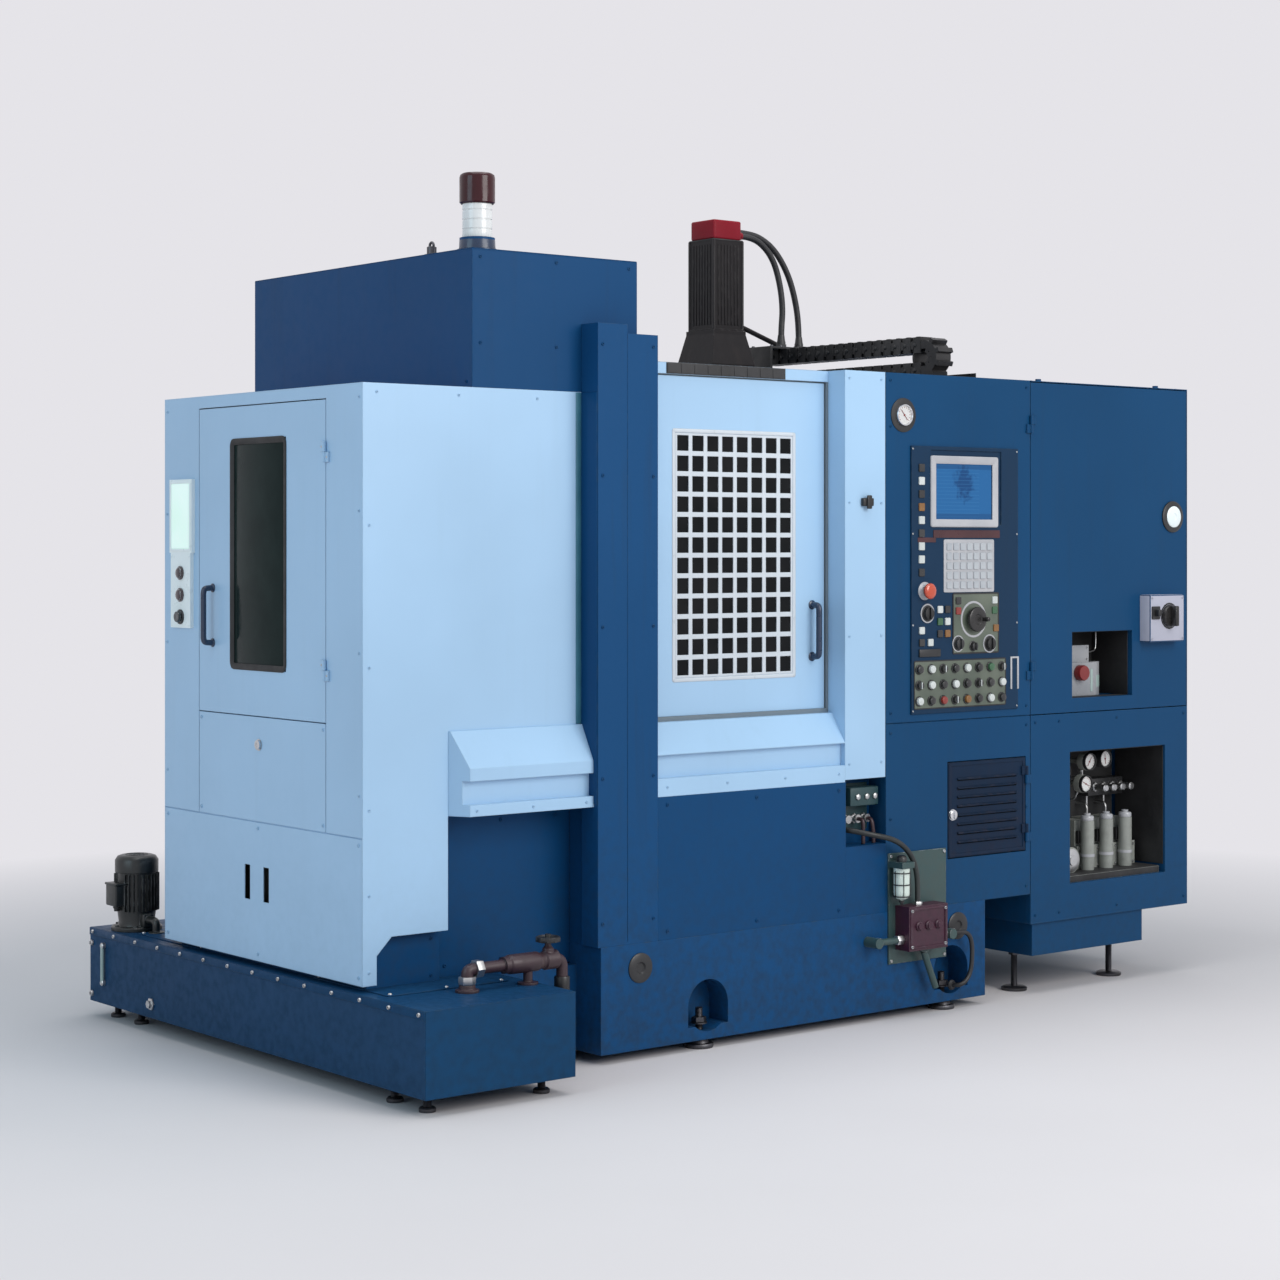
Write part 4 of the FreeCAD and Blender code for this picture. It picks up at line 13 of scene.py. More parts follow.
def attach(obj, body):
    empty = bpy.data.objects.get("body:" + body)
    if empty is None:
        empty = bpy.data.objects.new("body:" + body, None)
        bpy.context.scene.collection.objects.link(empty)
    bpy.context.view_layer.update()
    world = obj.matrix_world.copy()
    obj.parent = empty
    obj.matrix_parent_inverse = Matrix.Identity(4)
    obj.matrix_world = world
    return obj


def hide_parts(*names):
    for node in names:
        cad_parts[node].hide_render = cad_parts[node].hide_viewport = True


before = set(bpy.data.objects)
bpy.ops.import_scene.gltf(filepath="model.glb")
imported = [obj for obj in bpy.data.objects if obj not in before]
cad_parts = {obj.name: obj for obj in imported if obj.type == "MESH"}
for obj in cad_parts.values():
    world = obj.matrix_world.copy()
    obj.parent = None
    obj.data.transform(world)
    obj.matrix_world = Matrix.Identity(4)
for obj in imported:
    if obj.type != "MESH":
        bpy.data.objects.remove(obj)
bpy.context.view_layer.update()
scene = bpy.context.scene

# --- Camera ---
# A long lens at eye height, to the right of the loading booth and level. The frame is shifted
# down so that the whole machine shows with its uprights parallel.
camera_data = bpy.data.cameras.new("camera")
camera_data.lens = 72
camera_data.sensor_width = 36
camera_data.shift_y = -0.0758
camera_data.clip_end = 200
camera = bpy.data.objects.new("camera", camera_data)
camera.location = (6.702, -5.606, 1.55)
camera.rotation_euler = (math.radians(90), 0, math.radians(51.2))
scene.collection.objects.link(camera)
scene.camera = camera

# --- Motor cables and air hose ---
# Two rubber-jacketed cables arch from the servo motor's cap to the bridge on the column, and a
# ribbed rubber hose brings air from the bay to the valve block. Each ends in a threaded gland.


def node(tree, kind, inputs=(), **settings):
    """One shader node: an input given as a socket is linked, any other value is set."""
    made = tree.nodes.new("ShaderNode" + kind)
    for label, value in settings.items():
        setattr(made, label, value)
    for label, value in dict(inputs).items():
        if isinstance(value, bpy.types.NodeSocket):
            tree.links.new(value, made.inputs[label])
        else:
            made.inputs[label].default_value = value
    return made


def ranged(tree, value, low, high, to_low=0.0, to_high=1.0):
    """A value carried over from one range to another, clamped at both ends."""
    return node(tree, "MapRange", {0: value, 1: low, 2: high, 3: to_low, 4: to_high}).outputs[0]


def sums(tree, operation, first, second):
    """One sum of two values."""
    return node(tree, "Math", {0: first, 1: second}, operation=operation).outputs[0]


def blended(tree, factor, first, second):
    """Two colours mixed by a factor."""
    return node(tree, "Mix", {0: factor, 6: first, 7: second}, data_type="RGBA").outputs[2]


def cloudy(tree, place, scale, detail=2.0):
    """Soft noise at so many blotches a metre."""
    inputs = {"Vector": place, "Scale": scale, "Detail": detail}
    return node(tree, "TexNoise", inputs).outputs[0]


def effect(name, inputs, outputs):
    """A shader group: its tree, where its colours and values are read, and what comes in and goes out."""
    tree = bpy.data.node_groups.new(name, "ShaderNodeTree")
    kinds = {1: "NodeSocketFloat", 3: "NodeSocketVector", 4: "NodeSocketColor"}
    for label, value in inputs.items():
        width = len(value) if isinstance(value, tuple) else 1
        socket = tree.interface.new_socket(label, in_out="INPUT", socket_type=kinds[width])
        socket.default_value = value
    for label, width in outputs.items():
        tree.interface.new_socket(label, in_out="OUTPUT", socket_type=kinds[width])
    place = node(tree, "TexCoord").outputs["Object"]
    return tree, place, tree.nodes.new("NodeGroupInput").outputs, tree.nodes.new("NodeGroupOutput").inputs


def moulded_group():
    """Moulded rubber or plastic: fine grain, faded patches and uneven gloss."""
    tree, place, given, result = effect(
        "moulded_skin",
        {"Colour": (0.5, 0.5, 0.5, 1), "Faded": (0.6, 0.6, 0.6, 1), "Roughness": 0.5,
         "Grain": 900.0, "Depth": 0.00004},
        {"Colour": 4, "Roughness": 1, "Height": 1})
    patches = ranged(tree, cloudy(tree, place, 7.0, 4.0), 0.38, 0.72)
    smudges = ranged(tree, cloudy(tree, place, 31.0, 3.0), 0.35, 0.7, -0.06, 0.10)
    grain = cloudy(tree, place, given["Grain"], 1.0)
    tree.links.new(blended(tree, patches, given["Colour"], given["Faded"]), result["Colour"])
    tree.links.new(sums(tree, "ADD", given["Roughness"], smudges), result["Roughness"])
    tree.links.new(sums(tree, "MULTIPLY", grain, given["Depth"]), result["Height"])
    return tree


def finish_of(name, group, values, **plain):
    """A material whose colour, gloss and relief come from a shader group; plain values sit on the shader."""
    material = bpy.data.materials.new(name)
    material.use_nodes = True
    tree = material.node_tree
    surface = tree.nodes["Principled BSDF"]
    part = node(tree, "Group", node_tree=group)
    for label, value in values.items():
        part.inputs[label].default_value = (*value, 1) if isinstance(value, tuple) and label != "Marks" else value
    bump = node(tree, "Bump", {"Height": part.outputs["Height"], "Strength": 1.0, "Distance": 1.0})
    if "Normal" in part.outputs:
        tree.links.new(part.outputs["Normal"], bump.inputs["Normal"])
    tree.links.new(part.outputs["Colour"], surface.inputs["Base Color"])
    tree.links.new(part.outputs["Roughness"], surface.inputs["Roughness"])
    tree.links.new(bump.outputs["Normal"], surface.inputs["Normal"])
    for label, value in plain.items():
        surface.inputs[label.replace("_", " ")].default_value = value
    return material


moulded_skin = moulded_group()


def moulded(name, colour, faded, roughness, grain=900, depth=0.04, **plain):
    """A moulded rubber or plastic material from two linear colours; depth in millimetres."""
    values = {"Colour": colour, "Faded": faded, "Roughness": roughness, "Grain": grain, "Depth": depth / 1000}
    return finish_of(name, moulded_skin, values, **plain)


cable_rubber = moulded("cable_rubber", (0.012, 0.012, 0.014), (0.03, 0.03, 0.032), 0.52, 1400, 0.03)
hose_rubber = moulded("hose_rubber", (0.008, 0.011, 0.012), (0.028, 0.034, 0.034), 0.46, 500, 0.1)


def spline_curve(name, route, radius, corners=6):
    """A round bar along a smooth line whose control points are given."""
    curve = bpy.data.curves.new(name, "CURVE")
    curve.dimensions = "3D"
    curve.bevel_depth = radius
    curve.bevel_resolution = corners
    curve.resolution_u = 10
    curve.use_fill_caps = True
    line = curve.splines.new("NURBS")
    line.points.add(len(route) - 1)
    for point, place in zip(line.points, route):
        point.co = (*place, 1)
    line.order_u = 3
    line.use_endpoint_u = True
    return curve


def free_cord(name, route, radius, body, material):
    """A cord on its smooth line, tied to its body, in place of its plain solid."""
    curve = spline_curve(name + "_line", route, radius)
    made = bpy.data.objects.new(name + "_line", curve)
    scene.collection.objects.link(made)
    curve.materials.append(material)
    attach(made, body)
    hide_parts(name)


upper_route = [(-0.213, 0.388, 2.660), (-0.213, 0.440, 2.660), (-0.213, 0.508, 2.650), (-0.213, 0.580, 2.610),
               (-0.213, 0.643, 2.530), (-0.213, 0.679, 2.438), (-0.213, 0.697, 2.342), (-0.213, 0.697, 2.2566)]
lower_route = [(-0.179, 0.388, 2.642), (-0.179, 0.430, 2.642), (-0.179, 0.488, 2.622), (-0.179, 0.544, 2.568),
               (-0.179, 0.576, 2.478), (-0.179, 0.588, 2.392), (-0.179, 0.580, 2.318), (-0.179, 0.580, 2.2566)]
air_route = [(0.640, 0.066, 0.628), (0.680, 0.066, 0.628), (0.722, 0.083, 0.624), (0.753, 0.115, 0.616),
             (0.770, 0.157, 0.606), (0.771, 0.208, 0.594), (0.768, 0.260, 0.570), (0.764, 0.304, 0.530),
             (0.760, 0.330, 0.478), (0.758, 0.336, 0.428), (0.758, 0.336, 0.379)]
free_cord("motor_cable_upper", upper_route, 0.011, "column_body", cable_rubber)
free_cord("motor_cable_lower", lower_route, 0.011, "column_body", cable_rubber)
free_cord("air_hose", air_route, 0.009, "frame", hose_rubber)

# Shapes in millimetres gather on the bench until piece() takes them off as one object.
bench = bmesh.new()
CREASE = math.radians(38)
AXES = {"x": Matrix.Rotation(math.pi / 2, 4, "Y"), "-x": Matrix.Rotation(-math.pi / 2, 4, "Y"),
        "y": Matrix.Rotation(-math.pi / 2, 4, "X"), "-y": Matrix.Rotation(math.pi / 2, 4, "X"),
        "z": Matrix.Identity(4), "-z": Matrix.Rotation(math.pi, 4, "X")}


def pairs(row):
    """A flat row of numbers taken two by two."""
    return list(zip(row[::2], row[1::2]))


def lathe(place, axis, row, sides=24, angle=0.0, ring=False):
    """A turned shape from a row of radii and heights; it closes on its axis, and a ring on itself."""
    base = Matrix.Translation(place) @ AXES[axis]
    section = pairs(row)
    if ring:
        section += section[:1]
    else:
        section = [(0, row[1])] + section + [(0, row[-1])] * (row[-2] > 0)
    rings = []
    for radius, height in section:
        steps = [angle + 2 * math.pi * k / sides for k in range(sides if radius else 1)]
        rings.append([bench.verts.new(base @ Vector((radius * math.cos(a), radius * math.sin(a), height)))
                      for a in steps])
    for low, high in zip(rings, rings[1:]):
        for k in range(sides):
            corners = [low[k % len(low)], low[(k + 1) % len(low)], high[(k + 1) % len(high)], high[k % len(high)]]
            corners = list(dict.fromkeys(corners))
            if len(corners) > 2:
                bench.faces.new(corners)


def hoop(place, axis, row, sides=24):
    """A turned ring."""
    lathe(place, axis, row, sides, ring=True)


def piece(name, material, body="frame", nodes=()):
    """Take the bench's mesh off as a smooth-faced object with creased edges, tied to its body and finish."""
    bmesh.ops.scale(bench, vec=(0.001, 0.001, 0.001), verts=bench.verts)
    bmesh.ops.recalc_face_normals(bench, faces=bench.faces)
    mesh = bpy.data.meshes.new(name)
    bench.to_mesh(mesh)
    bench.clear()
    mesh.polygons.foreach_set("use_smooth", [True] * len(mesh.polygons))
    mesh.set_sharp_from_angle(angle=CREASE)
    mesh.materials.append(material)
    made = bpy.data.objects.new(name, mesh)
    scene.collection.objects.link(made)
    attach(made, body)
    if nodes:
        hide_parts(*nodes)


black_satin = moulded("black_satin_plastic", (0.012, 0.012, 0.013), (0.03, 0.03, 0.032), 0.4, 1200, 0.03)
for x, y in ((-213, 697), (-179, 580)):
    lathe((x, y, 2256.6), "z", (19, 0, 19, 10), 6)
    lathe((x, y, 2266.6), "z", (16, 0, 16, 8, 14.5, 12, 11.8, 34))
piece("cable_glands", black_satin, "column_body")

# --- Floor, backdrop and light ---
# A pale, even studio floor that runs out into a background of the same tone. Large soft lamps
# stand on the right and overhead, so the side of the machine is brighter than its front.
backdrop = (0.785, 0.775, 0.812, 1)
scene.world = bpy.data.worlds.new("studio")
scene.world.use_nodes = True
sky = scene.world.node_tree
sky.nodes.clear()
rays = node(sky, "LightPath").outputs
mirrored = sums(sky, "MAXIMUM", rays["Is Glossy Ray"], rays["Is Transmission Ray"])
seen = sums(sky, "MAXIMUM", rays["Is Camera Ray"], mirrored)
ambient = node(sky, "Background", {"Color": (0.70, 0.86, 1.0, 1), "Strength": 0.50})
shown = node(sky, "Background", {"Color": backdrop, "Strength": 1.0})
sky_mix = node(sky, "MixShader", {0: seen, 1: ambient.outputs[0], 2: shown.outputs[0]})
node(sky, "OutputWorld", {"Surface": sky_mix.outputs[0]})

floor_paint = bpy.data.materials.new("studio_floor")
floor_paint.use_nodes = True
tree = floor_paint.node_tree
surface = tree.nodes["Principled BSDF"]
where = node(tree, "TexCoord").outputs["Object"]
mottle = ranged(tree, cloudy(tree, where, 0.9, 3.0), 0.3, 0.7)
tree.links.new(blended(tree, mottle, (0.71, 0.655, 0.645, 1), (0.73, 0.675, 0.665, 1)), surface.inputs["Base Color"])
surface.inputs["Roughness"].default_value = 0.9
surface.inputs["Specular IOR Level"].default_value = 0.1
far = ranged(tree, node(tree, "VectorMath", {0: where}, operation="LENGTH").outputs["Value"], 2.6, 5.0)
glow = node(tree, "Emission", {"Color": backdrop, "Strength": 1.0})
floor_mix = node(tree, "MixShader", {0: far, 1: surface.outputs[0], 2: glow.outputs[0]})
tree.links.new(floor_mix.outputs[0], tree.nodes["Material Output"].inputs["Surface"])
bmesh.ops.create_circle(bench, cap_ends=True, segments=96, radius=60)
floor_mesh = bpy.data.meshes.new("studio_floor")
bench.to_mesh(floor_mesh)
bench.clear()
floor_mesh.materials.append(floor_paint)
floor = bpy.data.objects.new("studio_floor", floor_mesh)
scene.collection.objects.link(floor)

for name, place, target, size, power, colour in (
        ("side_lamp", (7.5, 1.0, 4.4), (0.4, -0.2, 1.2), 4.5, 350, (1.0, 0.99, 0.97)),
        ("front_lamp", (1.0, -8.5, 4.2), (0, -1.2, 1.0), 4.0, 102, (0.58, 0.86, 1.0)),
        ("top_lamp", (0.6, -0.4, 7.2), (0, 0, 0), 5.0, 215, (1.0, 1.0, 1.0))):
    lamp = bpy.data.lights.new(name, "AREA")
    lamp.size, lamp.energy, lamp.color = size, power, colour
    stand = bpy.data.objects.new(name, lamp)
    stand.location = place
    stand.rotation_euler = (Vector(target) - Vector(place)).to_track_quat("-Z", "Y").to_euler()
    scene.collection.objects.link(stand)
scene.view_settings.view_transform = "Standard"

# --- Bed ---
# The bed is one grey-iron casting under thick dark blue machine paint, rubbed at its edges and
# soiled near the floor. Black plugs close the holes where the lifting bars go.


def painted_group():
    """Sprayed paint: orange peel, slow waves of the sheet, rubbed edges and dirt that gathers low down."""
    tree, place, given, result = effect(
        "painted_skin",
        {"Paint": (0.5, 0.5, 0.5, 1), "Bare": (0.4, 0.4, 0.4, 1), "Soil": (0.1, 0.1, 0.1, 1), "Roughness": 0.4,
         "Lumps": 3.0, "Lump_depth": 0.0004, "Peel_depth": 0.00002, "Wear": 0.6, "Dirt": 0.4},
        {"Colour": 4, "Roughness": 1, "Height": 1, "Normal": 3})
    broad = ranged(tree, cloudy(tree, place, 1.3, 3.0), 0.3, 0.7, 0.93, 1.06)
    rough = cloudy(tree, place, 38.0, 4.0)
    peel = cloudy(tree, place, 330.0, 1.0)
    lumps = cloudy(tree, place, given["Lumps"])
    runs = node(tree, "VectorMath", {0: place, 1: (26.0, 26.0, 1.5)}, operation="MULTIPLY").outputs[0]
    streaks = ranged(tree, cloudy(tree, runs, 1.0, 3.0), 0.56, 0.80)
    height = node(tree, "SeparateXYZ", {0: place}).outputs["Z"]
    rounded = node(tree, "Bevel", {"Radius": 0.0035}, samples=4).outputs["Normal"]
    true = node(tree, "NewGeometry").outputs["True Normal"]
    facing = node(tree, "VectorMath", {0: rounded, 1: true}, operation="DOT_PRODUCT").outputs["Value"]
    edge = sums(tree, "MULTIPLY", ranged(tree, facing, 0.985, 0.86), ranged(tree, rough, 0.50, 0.62))
    worn = sums(tree, "MULTIPLY", edge, given["Wear"])
    low = sums(tree, "MULTIPLY", ranged(tree, height, 0.9, 0.0), ranged(tree, rough, 0.35, 0.7))
    dirty = sums(tree, "MULTIPLY", low, given["Dirt"])
    runny = sums(tree, "MULTIPLY", sums(tree, "MULTIPLY", streaks, given["Dirt"]), 0.45)
    soiled = sums(tree, "MAXIMUM", dirty, runny)
    toned = node(tree, "HueSaturation", {"Value": broad, "Color": given["Paint"]}).outputs[0]
    coat = blended(tree, worn, blended(tree, soiled, toned, given["Soil"]), given["Bare"])
    tree.links.new(coat, result["Colour"])
    gloss = sums(tree, "ADD", given["Roughness"], ranged(tree, rough, 0.35, 0.7, -0.05, 0.07))
    tree.links.new(sums(tree, "ADD", gloss, sums(tree, "MULTIPLY", soiled, 0.25)), result["Roughness"])
    relief = sums(tree, "ADD", sums(tree, "MULTIPLY", lumps, given["Lump_depth"]),
                  sums(tree, "MULTIPLY", peel, given["Peel_depth"]))
    tree.links.new(relief, result["Height"])
    tree.links.new(rounded, result["Normal"])
    return tree


painted_skin = painted_group()


def painted(name, paint, bare, soil, roughness=0.38, cast=False, wear=0.5, dirt=0.3, **plain):
    """A paint finish; cast iron shows its lumpy skin through it."""
    lumps, lump_depth, peel_depth = (55.0, 0.0006, 0.00006) if cast else (2.6, 0.0022, 0.00002)
    values = {"Paint": paint, "Bare": bare, "Soil": soil, "Roughness": roughness, "Lumps": lumps,
              "Lump_depth": lump_depth, "Peel_depth": peel_depth, "Wear": wear, "Dirt": dirt}
    return finish_of(name, painted_skin, values, **plain)


def dress(material, *names):
    """Give CAD nodes a finish."""
    for name in names:
        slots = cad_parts[name].material_slots
        if not slots:
            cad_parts[name].data.materials.append(material)
        for slot in slots:
            slot.material = material


# The bed's paint is the navy paint made a shade lighter: painted light for the bed and the pillar, which stand in
# less light.
bed_paint = painted("bed_paint", (0.007, 0.063, 0.175), (0.06, 0.10, 0.14), (0.02, 0.03, 0.04), 0.42, True,
                    0.6, 0.5, Specular_IOR_Level=0.12)
navy_paint = painted("navy_paint", (0.005, 0.055, 0.155), (0.05, 0.10, 0.17), (0.02, 0.03, 0.04), 0.38, False,
                     0.45, 0.35, Specular_IOR_Level=0.12)
dress(bed_paint, "bed")
for (x, axis), y in product(((720, "x"), (-586, "-x")), (-796, 560)):
    lathe((x, y, 276), axis, (27, -4, 27, 0.2, 45, 0.2, 45, 3, 41, 5.5, 18, 5.5, 14, 1), 36)
piece("lifting_plugs", black_satin)

# --- Levelling feet ---
# Blackened steel pads on rubber rings carry the machine; each has a threaded bolt that is turned
# with a spanner and held by a hexagon nut. The tank and the cabinet stand on smaller ones.


def metal_group():
    """Machined or brushed metal: fine marks drawn out along one direction, with stained patches."""
    tree, place, given, result = effect(
        "machined_skin",
        {"Metal": (0.6, 0.6, 0.6, 1), "Stain": (0.3, 0.3, 0.3, 1), "Roughness": 0.3,
         "Marks": (900.0, 900.0, 30.0), "Depth": 0.00001},
        {"Colour": 4, "Roughness": 1, "Height": 1})
    drawn = node(tree, "VectorMath", {0: place, 1: given["Marks"]}, operation="MULTIPLY").outputs[0]
    marks = cloudy(tree, drawn, 1.0, 3.0)
    patches = ranged(tree, cloudy(tree, place, 14.0, 4.0), 0.45, 0.75)
    stained = sums(tree, "MULTIPLY", patches, ranged(tree, marks, 0.2, 0.8, 0.5, 1.0))
    tree.links.new(blended(tree, stained, given["Metal"], given["Stain"]), result["Colour"])
    gloss = sums(tree, "ADD", given["Roughness"], ranged(tree, marks, 0.3, 0.7, -0.08, 0.12))
    tree.links.new(sums(tree, "ADD", gloss, sums(tree, "MULTIPLY", stained, 0.12)), result["Roughness"])
    tree.links.new(sums(tree, "MULTIPLY", marks, given["Depth"]), result["Height"])
    return tree


machined_skin = metal_group()


def machined(name, metal, stain, roughness, marks=(900, 900, 30), depth=0.01):
    """A metal finish with marks along one direction; depth in millimetres."""
    values = {"Metal": metal, "Stain": stain, "Roughness": roughness, "Marks": marks, "Depth": depth / 1000}
    return finish_of(name, machined_skin, values, Metallic=1.0)


black_steel = machined("blackened_steel", (0.10, 0.10, 0.11), (0.05, 0.045, 0.04), 0.42)
zinc_steel = machined("zinc_plated_steel", (0.56, 0.57, 0.58), (0.36, 0.35, 0.33), 0.34)


def thread(radius, low, high, pitch=4):
    """The section of a threaded rod between two heights."""
    row = ()
    for k in range(int((high - low) / pitch)):
        row += (radius, low + pitch * k, radius * 0.88, low + pitch * (k + 0.5))
    return (*row, radius, high - 1, radius * 0.8, high)


for x, y in product((675, -541), (-528, 528)):
    lathe((x, y, 0), "z", (44, 0, 45, 3, 45, 11, 43, 14, 31, 15, 25, 30), 36)
    lathe((x, y, 0), "z", thread(12, 28, 122), 16)
    lathe((x, y, 73), "z", (26, 0, 26, 4), 28)
    lathe((x, y, 77), "z", (21, 0, 23.5, 2, 23.5, 14, 21, 16), 6)
for xs, ys, wide, top in (((-900, -740, 740, 900), (-1685, -1298), 24, 50), ((-340, 590), (974, 1467), 45, 135)):
    for x, y in product(xs, ys):
        lathe((x, y, 0), "z", (wide - 1, 0, wide, 3, wide, 10, wide * 0.8, 14), 28)
        lathe((x, y, 0), "z", thread(12, 12, top), 16)
        lathe((x, y, top - 12), "z", (20, 0, 20, 11), 6)
piece("levelling_feet", black_steel, nodes=["machine_feet"])

# --- Coolant tank ---
# A welded sheet trough with a screwed lid, sprayed dark blue. The lid's folded edge is held by
# zinc-plated screws; a sight tube and a drain plug sit on the front.


def block(low, high, soft=1.5, steps=2, turn=None):
    """A block with softened edges between two corners, turned about its middle if asked."""
    made = bmesh.ops.create_cube(bench, size=1.0)["verts"]
    size = Vector(high) - Vector(low)
    bmesh.ops.scale(bench, vec=size, verts=made)
    if turn:
        bmesh.ops.transform(bench, matrix=turn, verts=made)
    bmesh.ops.translate(bench, vec=(Vector(low) + Vector(high)) / 2, verts=made)
    if soft:
        edges = list({edge for vert in made for edge in vert.link_edges})
        bmesh.ops.bevel(bench, geom=edges, offset=min(soft, 0.45 * min(size)), segments=steps, profile=0.5,
                        affect="EDGES", clamp_overlap=True)


def screw(axis, place, radius, height):
    """A domed socket screw that stands on a face."""
    lathe(place, axis, (radius, -0.3, radius, height * 0.45, radius * 0.8, height, radius * 0.5, height,
                        radius * 0.42, height * 0.35), 12)


def screws(axis, xs, ys, zs, radius=5.5, height=3):
    """Screws at each meeting of the given x, y and z values."""
    for place in product(*(values if hasattr(values, "__iter__") else [values] for values in (xs, ys, zs))):
        screw(axis, place, radius, height)


# The tank's paint is a darker, less blue copy of the navy paint: painted shade for its shadowed front.
tank_paint = painted("tank_paint", (0.007, 0.052, 0.130), (0.05, 0.09, 0.13), (0.012, 0.024, 0.034), 0.42, False,
                     0.6, 0.35, Specular_IOR_Level=0.10)
dress(tank_paint, "coolant_tank")
block((-979.5, -1748.5, 266), (979.5, -1745.2, 289.5), 0.8)
block((-740, -1700, 290), (-330, -1290, 293.5))
block((330, -1700, 290), (730, -1290, 293.5))
piece("tank_lid_edge", tank_paint)
screws("-y", [-955 + 1910 / 13 * k for k in range(14)], -1748.5, 278, 6.5, 5)
screws("-y", -965, -1745.5, (75, 240), 10, 8)
screws("z", (-725, -345, 345, 715), (-1685, -1495, -1305), 293.5, 6, 3.5)
lathe((-560, -1745.5, 95), "-y", (20, 0, 20, 5, 13, 7, 13, 14), 6)
for z in (120, 240):
    lathe((-880, -1745.5, z), "-y", (10, 0, 10, 10, 7, 13), 12)
piece("tank_fixings", zinc_steel)
clear_tube = moulded("sight_tube_plastic", (0.42, 0.52, 0.50), (0.30, 0.40, 0.36), 0.16, 300, 0.01, Coat_Weight=0.3)
lathe((-880, -1753.5, 120), "z", (6, 0, 6, 120), 16)
piece("tank_sight_tube", clear_tube)

# --- Coolant pump ---
# A small immersion pump: its finned aluminium motor is sprayed black and bolted to the lid by
# its flange, with a fan cowl on top, a terminal box in front and an outlet elbow beside it.


def pipe(route, radius, corners=4):
    """A capped tube along a smooth line."""
    curve = spline_curve("pipe_route", route, radius, corners)
    shape = bpy.data.objects.new("pipe_route", curve)
    mesh = bpy.data.meshes.new_from_object(shape)
    before = set(bench.verts)
    bench.from_mesh(mesh)
    bmesh.ops.remove_doubles(bench, verts=[vert for vert in bench.verts if vert not in before], dist=0.01)
    bpy.data.objects.remove(shape)
    bpy.data.curves.remove(curve)
    bpy.data.meshes.remove(mesh)


def around(centre, axis, radius, count, start=0.0):
    """Places on a circle about an axis, each with the turn that leads to it."""
    for k in range(count):
        turn = Matrix.Rotation(start + 2 * math.pi * k / count, 4, axis)
        yield Vector(centre) + turn @ Vector((0, radius, 0) if axis == "X" else (radius, 0, 0)), turn


def rib(middle, half, soft, turn):
    """A turned bar about its middle, with half of its size given."""
    block(Vector(middle) - Vector(half), Vector(middle) + Vector(half), soft, 1, turn)


pump_black = painted("pump_black", (0.012, 0.014, 0.014), (0.20, 0.20, 0.20), (0.05, 0.05, 0.045), 0.34, False, 0.8)
PUMP = (-840, -1650)
TERMINAL_BOX_Y = -1710
lathe((*PUMP, 290), "z", (82, 0, 82, 11, 79, 14, 62, 15, 58, 30, 62, 60, 62, 188, 70, 189, 70, 228, 62, 240,
                          50, 244), 40)
for place, turn in around((*PUMP, 414), "Z", 66, 30):
    if place.y > TERMINAL_BOX_Y:
        rib(place, (7, 1.2, 60), 0.6, turn)
for place, turn in around((*PUMP, 304), "Z", 72, 6, math.pi / 6):
    lathe(place, "z", (6.5, 0, 6.5, 5), 6)
for inner in (12, 24, 36):
    hoop((*PUMP, 534), "z", (inner, -1, inner + 2, -1, inner + 2, 1.5, inner, 1.5), 32)
block((-875, -1744, 373), (-805, -1700, 447), 5, 3)
block((-878, -1746, 440), (-802, -1698, 447.5), 2)
lathe((-840, -1722, 373), "-z", (12, 0, 12, 8, 9, 10, 9, 18), 12)
pipe([(x, -1650, z) for x, z in pairs((-760, 330, -735, 330, -715, 330, -706, 322, -706, 305, -706, 290.5))], 13)
block((-790, -1668, 304), (-757, -1632, 348), 4, 3)
lathe((-706, -1650, 290), "z", (26, 0, 26, 6, 18, 9))
piece("coolant_pump_motor", pump_black, nodes=["coolant_pump"])

# --- Coolant return pipe ---
# Threaded steel pipe under dark red-brown paint, flanged to the lid, with a strainer, a valve that
# has a black hand wheel, a zinc union at the front elbow and a dark tail that points down.
pipe_paint = painted("pipe_paint", (0.045, 0.022, 0.028), (0.16, 0.12, 0.11), (0.03, 0.02, 0.02), 0.40, False,
                     0.9, 0.5)
bends = (-1483, 292, -1483, 330, -1483, 345, -1474, 352, -1456, 352, -1300, 352, -1178, 352, -1160, 350,
         -1150, 336, -1150, 320, -1150, 248)
pipe([(800, y, z) for y, z in pairs(bends)], 17, 6)
lathe((800, -1483, 290), "z", (34, 0, 34, 7, 24, 9, 23, 20), 32)
lathe((800, -1272, 290), "z", (30, 0, 30, 6, 13.6, 8, 13.6, 50), 28)
lathe((800, -1360, 352), "y", (24, 0, 24, 16, 27.5, 20, 28, 24, 28, 116, 27.5, 120, 23, 126, 23, 140, 28, 146,
                               28, 186, 24, 190))
lathe((800, -1200, 362), "z", (17, 0, 17, 22, 12, 28, 9, 34, 9, 42), 28)
piece("coolant_return_pipe", pipe_paint, nodes=["coolant_pipe"])
hoop((800, -1460, 352), "y", (17.2, 0, 25, 0, 26.2, 2, 26.2, 22, 25, 24, 17.2, 24), 6)
hoop((800, -1483, 311), "z", (17.2, 0, 24, 0, 25, 2, 25, 20, 24, 22, 17.2, 22), 6)
piece("coolant_unions", zinc_steel)
lathe((800, -1200, 402), "z", (11, 0, 12, 6, 26, 6, 30, 1, 34.5, 3, 36, 8, 34.5, 16, 30, 18, 24, 13, 10, 14,
                               9, 24), 40)
for place, turn in around((800, -1200, 410.8), "Z", 35.2, 10):
    rib(place, (1, 4.5, 6.5), 0.8, turn)
hoop((800, -1150, 248), "z", (17.2, 0, 22, 0, 23, 3, 23, 48, 21, 52, 17.2, 52))
piece("coolant_valve_wheel", black_satin)

